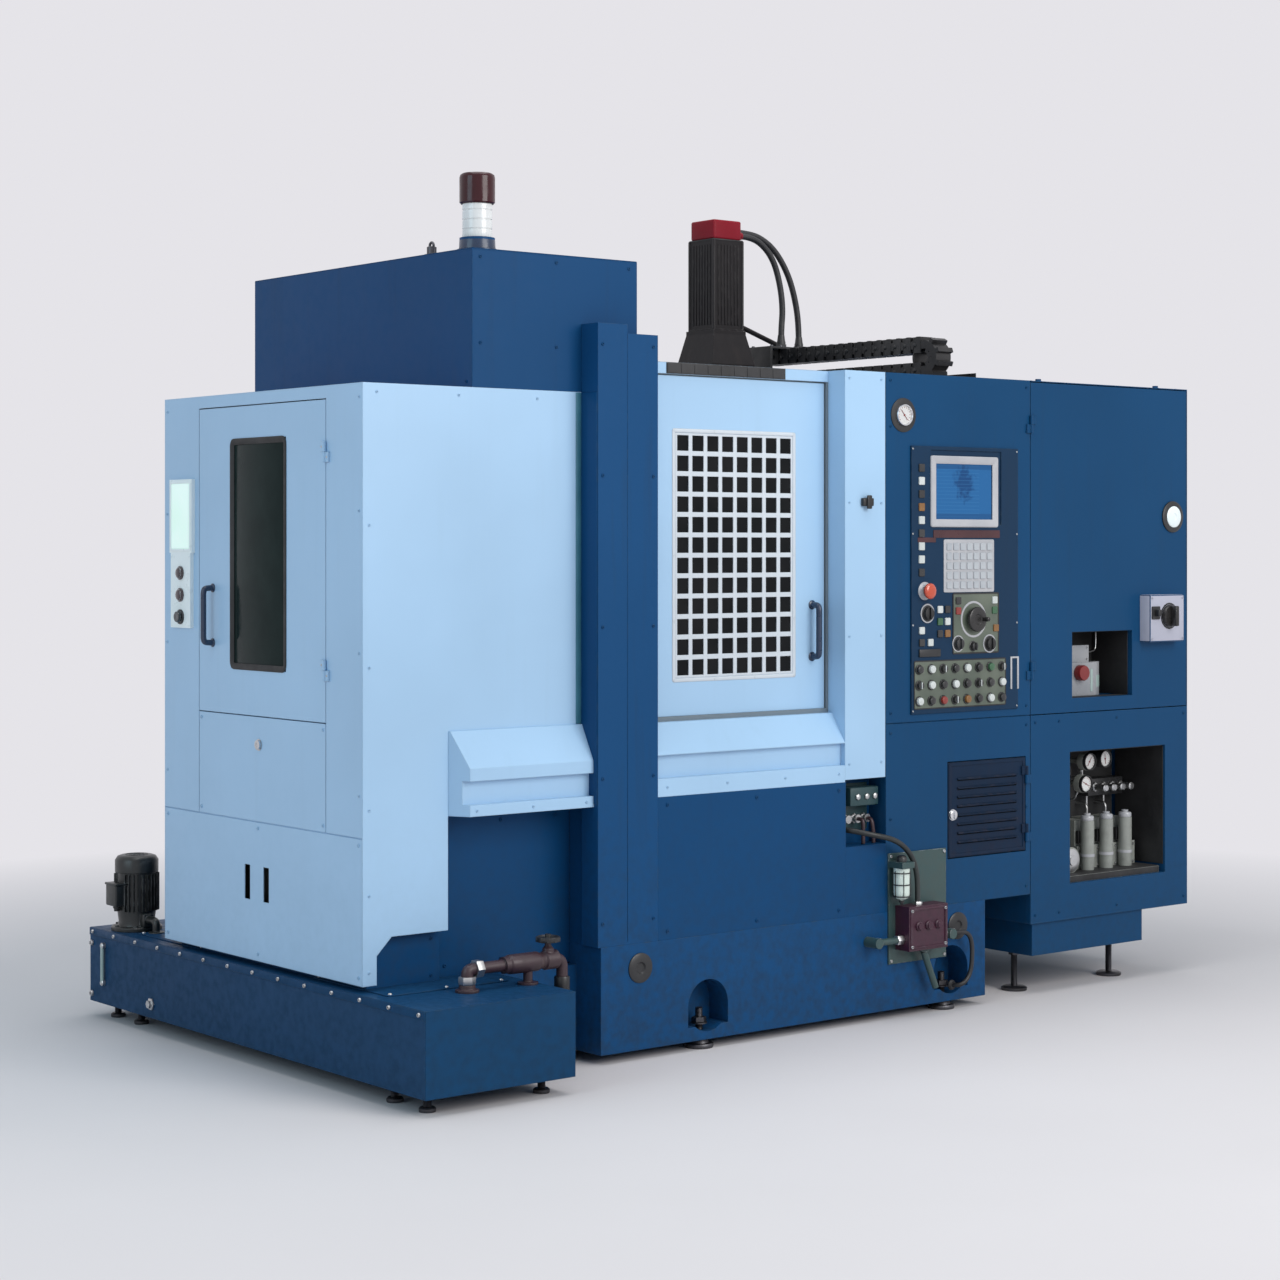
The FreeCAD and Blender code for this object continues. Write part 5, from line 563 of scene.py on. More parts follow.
# --- Booth ---
# Folded sheet steel, powder-coated light blue, with small screws in the same coat. The door's dark
# pane sits in a rubber frame; its bow handle is moulded in navy plastic on two feet.
FACES = {"front": ((1, 0, 0), (0, 0, 1)), "side": ((0, 1, 0), (0, 0, 1)), "top": ((1, 0, 0), (0, 1, 0))}


def skinned(loops, ring=False):
    """Faces between neighbouring loops of points; a ring closes on itself, anything else gets two lids."""
    count = len(loops[0])
    for low, high in zip(loops, loops[1:] + loops[:ring]):
        for k in range(count):
            bench.faces.new((low[k], low[(k + 1) % count], high[(k + 1) % count], high[k]))
    if not ring:
        bench.faces.new(loops[0][::-1])
        bench.faces.new(loops[-1])


def surround(face, centre, half, radius, profile, ring=True, steps=5):
    """A profile of insets and heights swept round a rounded rectangle that lies on a face."""
    across, up = (Vector(axis) for axis in FACES[face])
    out = across.cross(up)
    loops = []
    for inset, height in pairs(profile):
        turn = max(radius - inset, 0.4)
        loop = []
        for a, b, start in ((1, 1, 0), (-1, 1, 90), (-1, -1, 180), (1, -1, 270)):
            for k in range(steps + 1):
                angle = math.radians(start + 90 * k / steps)
                u = a * (half[0] - inset - turn) + turn * math.cos(angle)
                v = b * (half[1] - inset - turn) + turn * math.sin(angle)
                loop.append(bench.verts.new(Vector(centre) + across * u + up * v + out * height))
        loops.append(loop)
    skinned(loops, ring)


def pad(face, centre, half, radius, height, soft=0.6):
    """A thin plate with rounded corners and a softened rim, standing on a face."""
    surround(face, centre, half, radius, (0, -0.3, 0, height - soft, soft, height), False)


def edging(face, centre, half, radius, width, height, sunk=0.3):
    """A flat frame that stands on a face."""
    surround(face, centre, half, radius, (0, -sunk, 0, height, width, height, width, -sunk))


light_paint = painted("light_paint", (0.37, 0.56, 0.76), (0.50, 0.62, 0.72), (0.20, 0.28, 0.34), 0.33, False,
                      0.3, 0.10)
dress(light_paint, "booth_shell", "front_panels", "booth_door", "booth_side_shelf", "door_shelf", "side_door",
      "post_panel")
screws("-y", (-485, 67, 619), -1727, (330, 702))
screws("-y", (-272, 432), -1727, (742, 1016))
screws("-y", (-488, 622), -1727, (840, 1240, 1640, 1960), 4.5, 2.5)
screws("x", 640, (-1680, -1400, -1120), 1975, 4.5, 2.5)
screws("x", 640, -1705, (345, 560, 800, 1200, 1600), 4.5, 2.5)
screws("z", (-420, -100, 250, 580), -1380, 2000, 4.5, 2.5)
piece("booth_screws", light_paint)
# A rubber seal strip where the booth meets the pillar; its dark teal is partly painted shadow of the join.
booth_join_shade_rubber = moulded("teal_seal_shade_rubber", (0.028, 0.13, 0.19), (0.05, 0.19, 0.26), 0.45, 700)
block((639.9, -978, 1011.5), (642.8, -957, 1998), 1.2)
piece("booth_edge_seal_shade", booth_join_shade_rubber)

door_glass = moulded("smoked_booth_pane", (0.010, 0.019, 0.018), (0.016, 0.028, 0.026), 0.10, 40, 0.2,
                     Specular_IOR_Level=0.06)
black_rubber = moulded("black_rubber", (0.010, 0.010, 0.011), (0.026, 0.026, 0.027), 0.6, 900, 0.06)
block((-109, -1723.9, 1157), (243, -1718, 1877), 0.8)
piece("booth_door_pane", door_glass, "booth_door_body", ["booth_door_window"])
surround("front", (67, -1723.9, 1517), (160, 344), 20,
         (0, 0, 0, 3.1, -3, 3.3, -3, 5.2, 2, 6.4, 8, 5.8, 13, 3.4, 16, 1.8, 16, 0))
piece("booth_pane_seal", black_rubber, "booth_door_body")
navy_plastic = moulded("navy_plastic", (0.006, 0.020, 0.055), (0.014, 0.034, 0.075), 0.30, 1100, 0.03,
                       Coat_Weight=0.25)


def bow_handle(name, place, out, low, high, reach, radius, body, replaced):
    """A moulded bow handle: grip, two bent legs and their feet with a screw plug in each."""
    base, out = Vector(place), Vector(out)
    ends = (low + radius, 1), (high - radius, -1)
    legs = pairs((0, 0, 0.45 * reach, 0, 0.86 * reach, 2, reach, 12, reach, 30))
    route = []
    for (z, way), leg in zip(ends, (legs, legs[::-1])):
        route += [base + out * depth + Vector((0, 0, z + way * rise)) for depth, rise in leg]
        lathe(base + Vector((0, 0, z)), "-y" if out.y else "x",
              (radius * 1.5, -0.4, radius * 1.5, 2, radius * 1.05, 5))
    pipe(route, radius, 5)
    piece(name, navy_plastic, body, [replaced])


bow_handle("booth_bow_handle", (-202, -1727, 0), (0, -1, 0), 1237, 1422, 33, 9, "booth_door_body",
           "booth_door_handle")
lathe((73, -1733.2, 951), "-y", (14.5, 0, 14.5, 1.2, 12, 2, 6.5, 2, 6, 0.6), 28)
lathe((73, -1727.2, 951), "-y", (17.5, 0, 17.5, 1.4, 13.5, 2), 28)
screws("-y", 460.5, -1733.2, (1171, 1795), 3.2, 1.2)
screws("-y", 432.5, -1733.2, (1201, 1825), 3.2, 1.2)
piece("booth_lock_and_screws", zinc_steel)
# A black rubber box behind the kick panel's slot: painted shade, so the slot looks dark inside.
block((-40, -1703.5, 462), (160, -1701.5, 615), 0.6, 1)
for x in (-40, 157):
    block((x, -1723.7, 462), (x + 3, -1703.5, 615), 0.6, 1)
piece("kick_slot_shade_box", black_rubber)

# --- Call panel ---
# A pale moulded box with a green-tinted display, and a strip below it with two lamps and a black
# button in a black collar. It is screwed to the booth's front stile.
call_plastic = moulded("call_plastic", (0.84, 0.90, 0.90), (0.78, 0.86, 0.86), 0.32, 1000, 0.03, Coat_Weight=0.2)
display_green = moulded("display_film", (0.74, 0.92, 0.80), (0.84, 0.96, 0.90), 0.14, 60, 0.1,
                        Specular_IOR_Level=0.3, Emission_Color=(0.75, 1.0, 0.88, 1), Emission_Strength=0.26)
dress(call_plastic, "call_panel")
surround("front", (-384, -1739, 1633), (66, 110), 10, (0, -0.4, 0, 1.6, 2, 3, 8, 3, 10, 0.5, 10, -0.4))
screws("-y", (-439, -329), -1739, (1295, 1508), 3, 2)
piece("call_bezel", call_plastic)
pad("front", (-384, -1739, 1633), (56, 100), 4, 1)
piece("call_display", display_green)
dark_lens = moulded("dark_lamp_lens", (0.030, 0.018, 0.022), (0.05, 0.03, 0.035), 0.14, 60, 0.1, Coat_Weight=0.6)
for z in (1457, 1389):
    lathe((-384, -1739, z), "-y", (21.5, 0, 21.5, 3.5, 17.8, 4.5, 17.6, 7, 14.5, 10.5, 8, 12.5, 0, 13), 28)
piece("call_lamps", dark_lens)
button_dark = moulded("button_dark_plastic", (0.008, 0.014, 0.016), (0.03, 0.04, 0.045), 0.22, 900, 0.02,
                      Coat_Weight=0.5)
lathe((-384, -1744.7, 1321), "-y", (16.8, 0, 17, 1, 17, 7.5, 15.8, 9.5, 12, 10.2, 6, 9.2, 0, 8.8), 28)
lathe((-384, -1744.1, 1321), "y", (8.5, -1, 8.5, 11.6), 20)
piece("call_button_cap", button_dark, "call_button_body", ["call_button"])
hoop((-384, -1739, 1321), "-y", (18.3, -0.3, 23.2, -0.3, 23.2, 3, 20.8, 4.5, 18.3, 4.5), 28)
piece("call_button_collar", black_satin)

# --- Lower covers and the hose bay ---
# Dark blue folded skirts hide the bed's ways. The bay beside the air unit has a green-grey
# bulkhead plate with couplings; short rigid steel lines drop from it behind the skirt.
dress(navy_paint, "base_covers")
screws("x", 720, (-690, -330, 20), (375, 758), 6, 3.5)
screws("x", 566, (-1400, -1200, -1000), (325, 735), 6, 3.5)
screws("x", 600, (-1660, -1470), (310, 415), 5, 3)
screws("-x", -586, (-800, -450, 250, 800), (375, 758), 6, 3.5)
piece("skirt_screws", navy_paint)
bay_paint = painted("bay_green_paint", (0.018, 0.055, 0.062), (0.06, 0.10, 0.10), (0.012, 0.02, 0.02), 0.42, False,
                    0.6, 0.5)
pad("side", (640, 150, 693), (68, 76), 4, 3, 1)
block((640.2, 90, 700), (700, 215, 760), 4)
piece("bay_bulkhead", bay_paint)
for y in (110, 152, 194):
    lathe((642.8, y, 655), "x", (16, 0, 16, 10), 6)
    lathe((652.8, y, 655), "x", (11, 0, 11, 12, 13.5, 13, 13.5, 18), 20)
hoop((640, 66, 628), "x", (9.2, 0.5, 15, 0.5, 15, 12, 11.5, 14, 10.8, 26, 9.2, 26), 6)
for y in (120, 160, 196):
    lathe((700.2, y, 730), "x", (10, -1, 10, 6, 7, 8), 6)
piece("bay_couplings", zinc_steel)
pipe([(x, 152, z) for x, z in pairs((668, 655, 684, 655, 692, 650, 694, 640, 694, 610, 694, 576))], 6.5)
pipe([(668, 194, 655), (682, 194, 655), (690, 194, 648), (692, 195, 635), (692, 200, 610), (692, 200, 576)], 6.5)
piece("bay_pipes", pipe_paint)

# --- Roof cover and signal lamp ---
# A dark blue sheet cover over the pallet changer, screwed along its lower edge, with a forged
# eyebolt. The lamp has a black foot, an opal ring with grooves and a ribbed dark red lens.
dress(navy_paint, "roof_cover")
screws("-y", (-560, -260, 40, 340, 610), -1354, 2018)
screws("x", 640, (-1325, -1050, -775), (2130, 2380))
screws("z", (-560, 0, 610), (-1325, -1050, -775), 2402)
edging("top", (25, -1049, 2402), (615.5, 305.5), 4, 16, 1.8)
piece("roof_trim", navy_paint)
lathe((392, -1326, 2402), "z", (22, 0, 22, 4, 14.5, 6, 14.5, 26, 10, 28))
turns = [math.pi * k / 8 for k in range(17)]
pipe([(392 + 10 * math.cos(turn), -1326, 2432 + 10 * math.sin(turn)) for turn in turns], 4)
piece("roof_eyebolt", black_steel)
LAMP = (578, -1292)
lathe((*LAMP, 2402), "z", (60, 0, 60, 4, 53.5, 6, 52.5, 30, 49, 38.6), 48)
for start in (0.6, 2.2, 3.7, 5.3):
    for place, turn in around((*LAMP, 2405.5), "Z", 56.5, 1, start):
        screw("z", place, 2.8, 2)
piece("lamp_foot_cover", navy_plastic)
opal = moulded("opal_plastic", (0.76, 0.76, 0.75), (0.66, 0.67, 0.66), 0.22, 600, 0.02, Coat_Weight=0.4)
grooves = ()
for z in (2462, 2490, 2518):
    grooves += (44, z, 41.5, z + 1.2, 41.5, z + 3.4, 44, z + 4.6)
lathe((*LAMP, 0), "z", (43.5, 2440, 44, 2442, *grooves, 44, 2538, 43.5, 2540), 56)
piece("lamp_opal_ring", opal, nodes=["lamp_ring"])
dark_red = moulded("dark_red_lens", (0.040, 0.004, 0.007), (0.055, 0.010, 0.014), 0.16, 240, 0.05,
                   Specular_IOR_Level=0.35, Transmission_Weight=0.12)
LENS_RIBS = 64
loops = []
for row, (radius, z) in enumerate(pairs((48.5, 2540, 51.5, 2543, 51.5, 2616, 49.5, 2623.5, 44, 2628))):
    loop = []
    for k in range(2 * LENS_RIBS):
        out = radius + (0.5 if k % 2 and 0 < row < 4 else 0)
        angle = math.pi * k / LENS_RIBS
        loop.append(bench.verts.new((LAMP[0] + out * math.cos(angle), LAMP[1] + out * math.sin(angle), z)))
    loops.append(loop)
skinned(loops)
lathe((*LAMP, 2627.9), "z", (36, -1, 36, 0.8, 30, 2), 40)
piece("lamp_ribbed_lens", dark_red, nodes=["lamp_lens"])
for z, wide in ((2538.5, 48), (2438.5, 46)):
    hoop((*LAMP, z), "z", (40, 0, wide - 0.5, 0, wide, 1.3, wide - 0.5, 2.6, 40, 2.6), 48)
piece("lamp_seals", black_rubber)

# --- Pillar ---
# A tall folded cover in dark blue between booth and sliding door, screwed on from the side, with
# a folded lip down its front edge.
# The pillar takes the lightened bed paint: painted light on its side.
dress(bed_paint, "pillar_cover")
screws("x", 720, (-938, -745), (420, 850, 1300, 1750, 2140))
block((719.8, -845, 360), (720.6, -843, 2176), 0.3)
piece("pillar_screws", navy_paint)
block((640.2, -959, 775), (718, -956.2, 1998), 1)
piece("pillar_lip", navy_paint)

# --- Sliding door ---
# A folded light blue leaf with a dark polycarbonate window behind a pale plate of square holes.
# The grille is framed and screwed; the leaf hangs on covered rollers and closes on rubber.
grille_paint = painted("grille_paint", (0.60, 0.64, 0.68), (0.50, 0.52, 0.54), (0.30, 0.30, 0.30), 0.34, False,
                       0.5, 0.2)
dress(grille_paint, "side_door_grille")
dress(moulded("smoked_polycarbonate", (0.006, 0.007, 0.008), (0.012, 0.012, 0.013), 0.14, 50, 0.2,
              Specular_IOR_Level=0.1), "side_door_window")
surround("side", (632, -343, 1512), (256, 391), 8, (0, -0.4, 0, 0.6, 1, 1.1, 11, 1.1, 12.5, 0.4, 12.5, -0.4))
screws("x", 633.1, (-592, -426, -260, -94), (1127, 1897), 4, 0.6)
screws("x", 633.1, (-592.5, -93.5), (1310, 1512, 1710), 4, 0.6)
piece("grille_frame", grille_paint, "side_door_body")
bow_handle("sliding_door_handle", (632, -16, 0), (1, 0, 0), 1175, 1361, 34, 10, "side_door_body",
           "side_door_handle")
block((608, -704.5, 1022), (631, -699.7, 2060))
block((608, 36.7, 1022), (631, 39.8, 2060), 1.2)
piece("sliding_door_lips", black_rubber, "side_door_body")
screws("x", 720, (-690, -450, -210, 20), 811, 4.5, 2.5)
screws("x", 702, (-1380, -1180, -985), 783, 4.5, 2.5)
screws("x", 720, (66, 208), (840, 1250, 1680, 2080), 4.5, 2.5)
piece("shelf_and_post_screws", light_paint)
block((719.8, 116.5, 1669), (733.5, 163.5, 1695), 3, 3)
block((732.5, 130, 1660), (739.5, 150, 1704), 3, 3)
piece("post_catch_cover", black_satin)

# --- Work room ---
# Grey satin sheet inside the machine, with the tool changer's gearbox on the left wall. Door
# track and sill are bare bent steel along their running faces.
inner_paint = painted("inner_paint", (0.16, 0.20, 0.23), (0.26, 0.28, 0.29), (0.06, 0.065, 0.06), 0.40, False,
                      0.8, 0.5)
dress(inner_paint, "enclosure")
screws("z", (-560, -150, 260, 610), (-720, -300, 120), 2105)
screws("-x", -586, (-920, -550, 720, 890), (840, 1250, 1680, 2080))
piece("room_screws", inner_paint)

# --- Control housing ---
# A shallow cupboard of dark blue sheet beside the column. High on its front corner sits a round
# pressure gauge with a chromed rim, a white dial and a dark red needle.
cabinet_paint = painted("cabinet_paint", (0.006, 0.055, 0.142), (0.06, 0.13, 0.20), (0.02, 0.035, 0.05), 0.36,
                        False, 0.4, 0.3, Specular_IOR_Level=0.12)
dress(cabinet_paint, "control_housing", "cabinet_shell", "power_door")
screws("x", 720, (250, 895), (380, 650, 930, 995, 1930, 2080), 5)
screws("x", 720, (940, 1060, 1360, 1725), (275, 935), 5)
screws("y", (-400, 0, 350, 700), 1745, (275, 620, 1950, 2085), 5)
screws("-x", -420, (950, 1330, 1720), (275, 950, 1600, 2085), 5)
screws("z", (-390, 150, 690), (950, 1715), 2105, 5)
for x, y in product((-360, 660), (1020, 1640)):
    lathe((x, y, 2105), "z", (16, -0.3, 16, 4, 10, 6, 10, 12), 20)
piece("cabinet_screws", cabinet_paint)
chrome = machined("polished_chrome", (0.72, 0.73, 0.75), (0.55, 0.55, 0.56), 0.14, (200, 200, 200), 0.004)
white_dial = moulded("white_dial", (0.72, 0.72, 0.70), (0.62, 0.60, 0.58), 0.30, 200, 0.01, Coat_Weight=0.6)
needle_red = moulded("needle_red", (0.20, 0.02, 0.02), (0.25, 0.04, 0.035), 0.35, 400, 0.01)


def dial_gauges(names, rim_material, radius, spots):
    """Gauges that face +X, as three pieces: rims, dials, and needles with plain ticks."""
    r = radius
    for *place, turn in spots:
        hoop(place, "x", (0.84 * r, 1, 0.84 * r, 9, 0.88 * r, 12, 0.96 * r, 12, r, 9, r, -0.4, 0.5 * r, -0.4,
                          0.5 * r, 1), 32)
    piece(names[0], rim_material)
    for *place, turn in spots:
        lathe(place, "x", (0.835 * r, 1.5, 0.835 * r, 6), 32)
    piece(names[1], white_dial)
    for x, y, z, turn in spots:
        for k in range(13):
            angle = math.radians(-40 + 260 * k / 12)
            middle = (x + 6.05, y + 0.7 * r * math.cos(angle), z + 0.7 * r * math.sin(angle))
            rib(middle, (0.55, 0.6, 0.07 * r), 0, Matrix.Rotation(angle - math.pi / 2, 4, "X"))
        rib((x + 7.4, y, z), (0.4, 1, 0.6 * r), 0.3, Matrix.Rotation(turn, 4, "X"))
        lathe((x + 5.5, y, z), "x", (0.1 * r, 0, 0.08 * r, 3, 0, 3.5), 16)
    piece(names[2], needle_red)


hoop((719.4, 307, 1968), "x", (36.2, 0, 56, 0, 56, 3, 53, 4.5, 36.2, 4.5), 36)
piece("housing_gauge_flange", black_rubber)
dial_gauges(("housing_gauge_rim", "housing_gauge_dial", "housing_gauge_needle"), chrome, 36,
            [(720, 307, 1968, 0.7)])

# --- Operator panel ---
# A dark plate let into the housing. The screen has a pale grey surround and a maroon strip below;
# under it lie a grey membrane keyboard, an olive-grey switch field, caps, dials and a slot cover.
panel_paint = painted("panel_paint", (0.010, 0.034, 0.075), (0.06, 0.09, 0.12), (0.02, 0.025, 0.03), 0.34, False,
                      0.7, 0.3, Specular_IOR_Level=0.12)
dress(panel_paint, "control_panel")
PANEL_X = 726
pale_grey = moulded("pale_grey_plastic", (0.40, 0.40, 0.42), (0.50, 0.49, 0.50), 0.34, 900, 0.03, Coat_Weight=0.2)
surround("side", (PANEL_X, 586, 1720.5), (160, 118), 8, (0, -0.4, 0, 4, 3, 6.5, 20, 5.5, 26, 2.2, 26, -0.4))
pad("side", (PANEL_X, 609, 1474), (120, 88), 6, 1.2)
piece("screen_surround", pale_grey)
pad("side", (PANEL_X, 598, 1580), (158, 13), 3, 2.2)
pad("side", (PANEL_X, 410, 1560), (42, 8), 2, 1.5)
piece("maroon_strip",
      moulded("maroon_strip", (0.050, 0.014, 0.018), (0.08, 0.024, 0.028), 0.32, 500, 0.03))
pad("side", (PANEL_X, 568, 1083), (216, 78), 6, 1.2)
pad("side", (PANEL_X, 641, 1282), (109, 100), 6, 1.2)
piece("switch_field",
      moulded("olive_membrane", (0.090, 0.110, 0.085), (0.15, 0.17, 0.13), 0.38, 700))
edging("side", (PANEL_X, 641, 1282), (111, 102), 7, 5, 2)
edging("side", (PANEL_X, 568, 1083), (218, 80), 7, 4, 1.8)
piece("switch_field_edging", black_rubber)


def screen_material():
    """The lit screen: a blue picture of plain fields that is darker in its middle."""
    tree, place, given, result = effect("screen_picture", {"Dim": 0.5}, {"Colour": 4, "Light": 4, "Roughness": 1})
    parts = node(tree, "SeparateXYZ", {0: place}).outputs
    across = ranged(tree, parts["Y"], 0.455, 0.717, -1.0, 1.0)
    up = ranged(tree, parts["Z"], 1.627, 1.814, -1.0, 1.0)
    spot = node(tree, "CombineXYZ", {"X": sums(tree, "MULTIPLY", across, 2.0), "Y": sums(tree, "ADD", up, -0.3)})
    middle = node(tree, "VectorMath", {0: spot.outputs[0]}, operation="LENGTH").outputs["Value"]
    ragged = ranged(tree, cloudy(tree, place, 60.0, 3.0), 0.3, 0.7, -0.25, 0.25)
    blob = ranged(tree, sums(tree, "ADD", middle, ragged), 0.35, 0.75)
    bars = sums(tree, "MAXIMUM", sums(tree, "GREATER_THAN", up, 0.80), sums(tree, "LESS_THAN", up, -0.78))
    rows = node(tree, "TexWave", {"Vector": place, "Scale": 26.0}, bands_direction="Z").outputs["Fac"]
    lines = sums(tree, "MULTIPLY", sums(tree, "GREATER_THAN", rows, 0.93), sums(tree, "LESS_THAN", across, 0.55))
    base = blended(tree, blob, (0.010, 0.075, 0.23, 1), (0.024, 0.155, 0.40, 1))
    base = blended(tree, sums(tree, "MULTIPLY", lines, 0.30), base, (0.06, 0.26, 0.55, 1))
    base = blended(tree, sums(tree, "MULTIPLY", bars, 0.5), base, (0.014, 0.07, 0.20, 1))
    tree.links.new(base, result["Light"])
    tree.links.new(blended(tree, given["Dim"], base, (0.005, 0.01, 0.02, 1)), result["Colour"])
    tree.links.new(ranged(tree, cloudy(tree, place, 9.0), 0.3, 0.7, 0.07, 0.15), result["Roughness"])
    material = bpy.data.materials.new("screen_glass")
    material.use_nodes = True
    surface = material.node_tree.nodes["Principled BSDF"].inputs
    picture = node(material.node_tree, "Group", node_tree=tree).outputs
    for label, socket in (("Colour", "Base Color"), ("Light", "Emission Color"), ("Roughness", "Roughness")):
        material.node_tree.links.new(picture[label], surface[socket])
    surface["Emission Strength"].default_value = 0.30
    surface["Specular IOR Level"].default_value = 0.15
    return material


dress(screen_material(), "control_screen")
# Each colour of cap has its two tones and the (y, z) places of its small square keys. The letters
# of the round caps and of the tall row of keys beside the screen are those that the colours start with.
CAPS = {"white": ((0.62, 0.64, 0.62), (0.52, 0.55, 0.53), (470, 1330, 505, 1290, 385, 1262, 425, 1222, 730, 1358)),
        "green": ((0.035, 0.11, 0.05), (0.05, 0.15, 0.07), (470, 1290, 730, 1324)),
        "amber": ((0.20, 0.085, 0.018), (0.26, 0.12, 0.03), (505, 1250, 736, 1264)),
        "red": ((0.23, 0.022, 0.015), (0.28, 0.04, 0.03), (556, 1324)),
        "black": ((0.012, 0.012, 0.013), (0.03, 0.03, 0.03), (505, 1330, 470, 1250, 385, 1222, 556, 1358))}
for name, (colour, faded, keys) in CAPS.items():
    for k, letter in enumerate("wbrbabwbgwbwbabwbwgbwbgw"):
        y, z = 372 + 56 * (k % 8), 1030 + 52 * (k // 8)
        is_toggle = k % 5 == 3
        if name == "black":
            lathe((PANEL_X, y, z), "x", (16.8, -0.3, 16.8, 3.5, 15, 5.5), 20)
            if is_toggle:
                lathe((PANEL_X + 5, y, z), "x", (12.8, 0, 11.8, 10), 20)
        if is_toggle and name == "white":
            block((PANEL_X + 14.5, y - 1.6, z - 11), (PANEL_X + 18.5, y + 1.6, z + 11), 0.8)
        if letter == name[0] and not is_toggle:
            lathe((PANEL_X + 5, y, z), "x", (13.2, 0, 13.2, 6, 12, 8.5, 7, 10, 0, 10.4), 20)
    for k, letter in enumerate("bwwbwabwb"):
        if letter == name[0]:
            pad("side", (PANEL_X, 385, 1453 + 43 * k), (13, 13), 3, 4.6, 1.2)
    for y, z in pairs(keys):
        pad("side", (PANEL_X + 1, y, z), (12, 12), 3, 5, 1.4)
    piece("panel_caps_" + name, moulded("cap_" + name, colour, faded, 0.26, 700, 0.02, Coat_Weight=0.4),
          nodes=["control_keys"] if name == "black" else ())
for column, row in product(range(7), range(5)):
    surround("side", (PANEL_X + 1, 513 + 32 * column, 1410 + 32 * row), (12.2, 12.2), 3,
             (0, -0.4, 0, 2.2, 1.1, 3.8, 5, 3.4, 11.8, 3.2), False, 3)
piece("keyboard_caps", moulded("key_grey", (0.46, 0.48, 0.50), (0.38, 0.40, 0.43), 0.36, 800, 0.03))
for y, z, radius in ((412, 1318, 22), (556, 1215, 19), (626, 1205, 14), (706, 1212, 21)):
    lathe((PANEL_X, y, z), "x", (radius * 1.25, -0.3, radius * 1.25, 1.5, radius, 3, radius * 0.92, 14,
                                 radius * 0.5, 16), 28)
    block((PANEL_X + 14, y - 2.5, z - radius * 0.9), (PANEL_X + 22, y + 2.5, z + radius * 0.9), 1)
block((PANEL_X, 372, 1175), (PANEL_X + 6, 470, 1200))
piece("panel_dials", black_satin)
for y, z, inner, outer in ((412, 1318, 27.5, 32), (556, 1215, 24, 27.5), (706, 1212, 26.5, 31), (629, 1295, 54, 61)):
    hoop((PANEL_X + 1, y, z), "x", (inner, 0, inner, 1.2, outer, 1.2, outer, 0), 32)
for y in (812, 845):
    block((PANEL_X, y - 4, 1055), (PANEL_X + 3, y + 4, 1165), 1)
block((PANEL_X, 816, 1159), (PANEL_X + 3, 842, 1165), 1)
piece("panel_scales", pale_grey)
screws("x", PANEL_X, (346, 841), (998, 1280, 1580, 1859), 3.5, 2)
piece("panel_screws", zinc_steel)

# --- Emergency stop and hand wheel ---
# A glossy orange-red mushroom head on a pale collar, and a black hand wheel with a knurled edge,
# a plain graduated ring and a turning crank knob.
stop_red = moulded("stop_red_plastic", (0.52, 0.055, 0.014), (0.56, 0.09, 0.03), 0.20, 600, 0.01, Coat_Weight=0.8)
lathe((729.9, 400, 1392), "x", (9, -21, 9, 16.1, 21.5, 16.1, 25.5, 18.5, 26, 22, 25, 25.8, 21.5, 28.5, 12, 30,
                                0, 30.2), 40)
piece("stop_mushroom", stop_red, "emergency_stop_body", ["emergency_stop"])
hoop((PANEL_X, 400, 1392), "x", (10, -0.3, 30, -0.3, 30, 2, 23, 4, 18, 9, 10, 9), 36)
piece("stop_collar", pale_grey)
wheel_black = moulded("wheel_black_plastic", (0.014, 0.013, 0.013), (0.035, 0.033, 0.032), 0.30, 800)
lathe((716.2, 629, 1295), "x", (9, -13.8, 9, 19.8, 30, 19.8, 30, 22.5, 40, 23.5, 40, 33.5, 36, 35.2, 18, 35.2,
                                15, 32), 48)
for place, turn in around((744.7, 629, 1295), "X", 40.2, 36):
    rib(place, (4.8, 1.3, 1.3), 0.5, turn)
lathe((751, 657, 1295), "x", (5, -4, 5, 2, 7.8, 5, 8, 14, 7, 21, 4, 23), 20)
piece("hand_wheel_turning", wheel_black, "hand_wheel_body", ["hand_wheel"])

# --- Louvred service door ---
# A near-black sheet door with pressed louvres over a filter mat, and a pale quarter-turn latch.
louvre_paint = painted("louvre_paint", (0.006, 0.020, 0.048), (0.05, 0.05, 0.07), (0.03, 0.02, 0.025), 0.42, False,
                       0.6, 0.6, Specular_IOR_Level=0.12)
dress(louvre_paint, "louvre_door")
for base in range(547, 787, 30):
    for rise, out in ((8, 0.6), (6.2, 4.2), (4, 6.6)):
        block((719.7, 558.5, base + rise), (721.2 + out, 846.5, base + rise + 2.4), 0.6, 1)
edging("side", (720, 702.5, 661.5), (183.5, 155.5), 6, 10, 1.5, 0.4)
piece("louvre_hoods", louvre_paint, "louvre_door_body")
block((707.5, 535, 522), (710, 870, 801), 0.5)
piece("louvre_filter_mat", black_rubber, "louvre_door_body")
lathe((726.2, 536, 646), "x", (16.5, -0.4, 16.5, 1.6, 13.5, 3), 28)
block((728.8, 533.5, 634), (734.5, 538.5, 658), 1)
hoop((720, 536, 646), "x", (14.1, -0.3, 18.5, -0.3, 18.5, 2.2, 14.1, 3), 28)
piece("louvre_latch", chrome, "louvre_door_body")

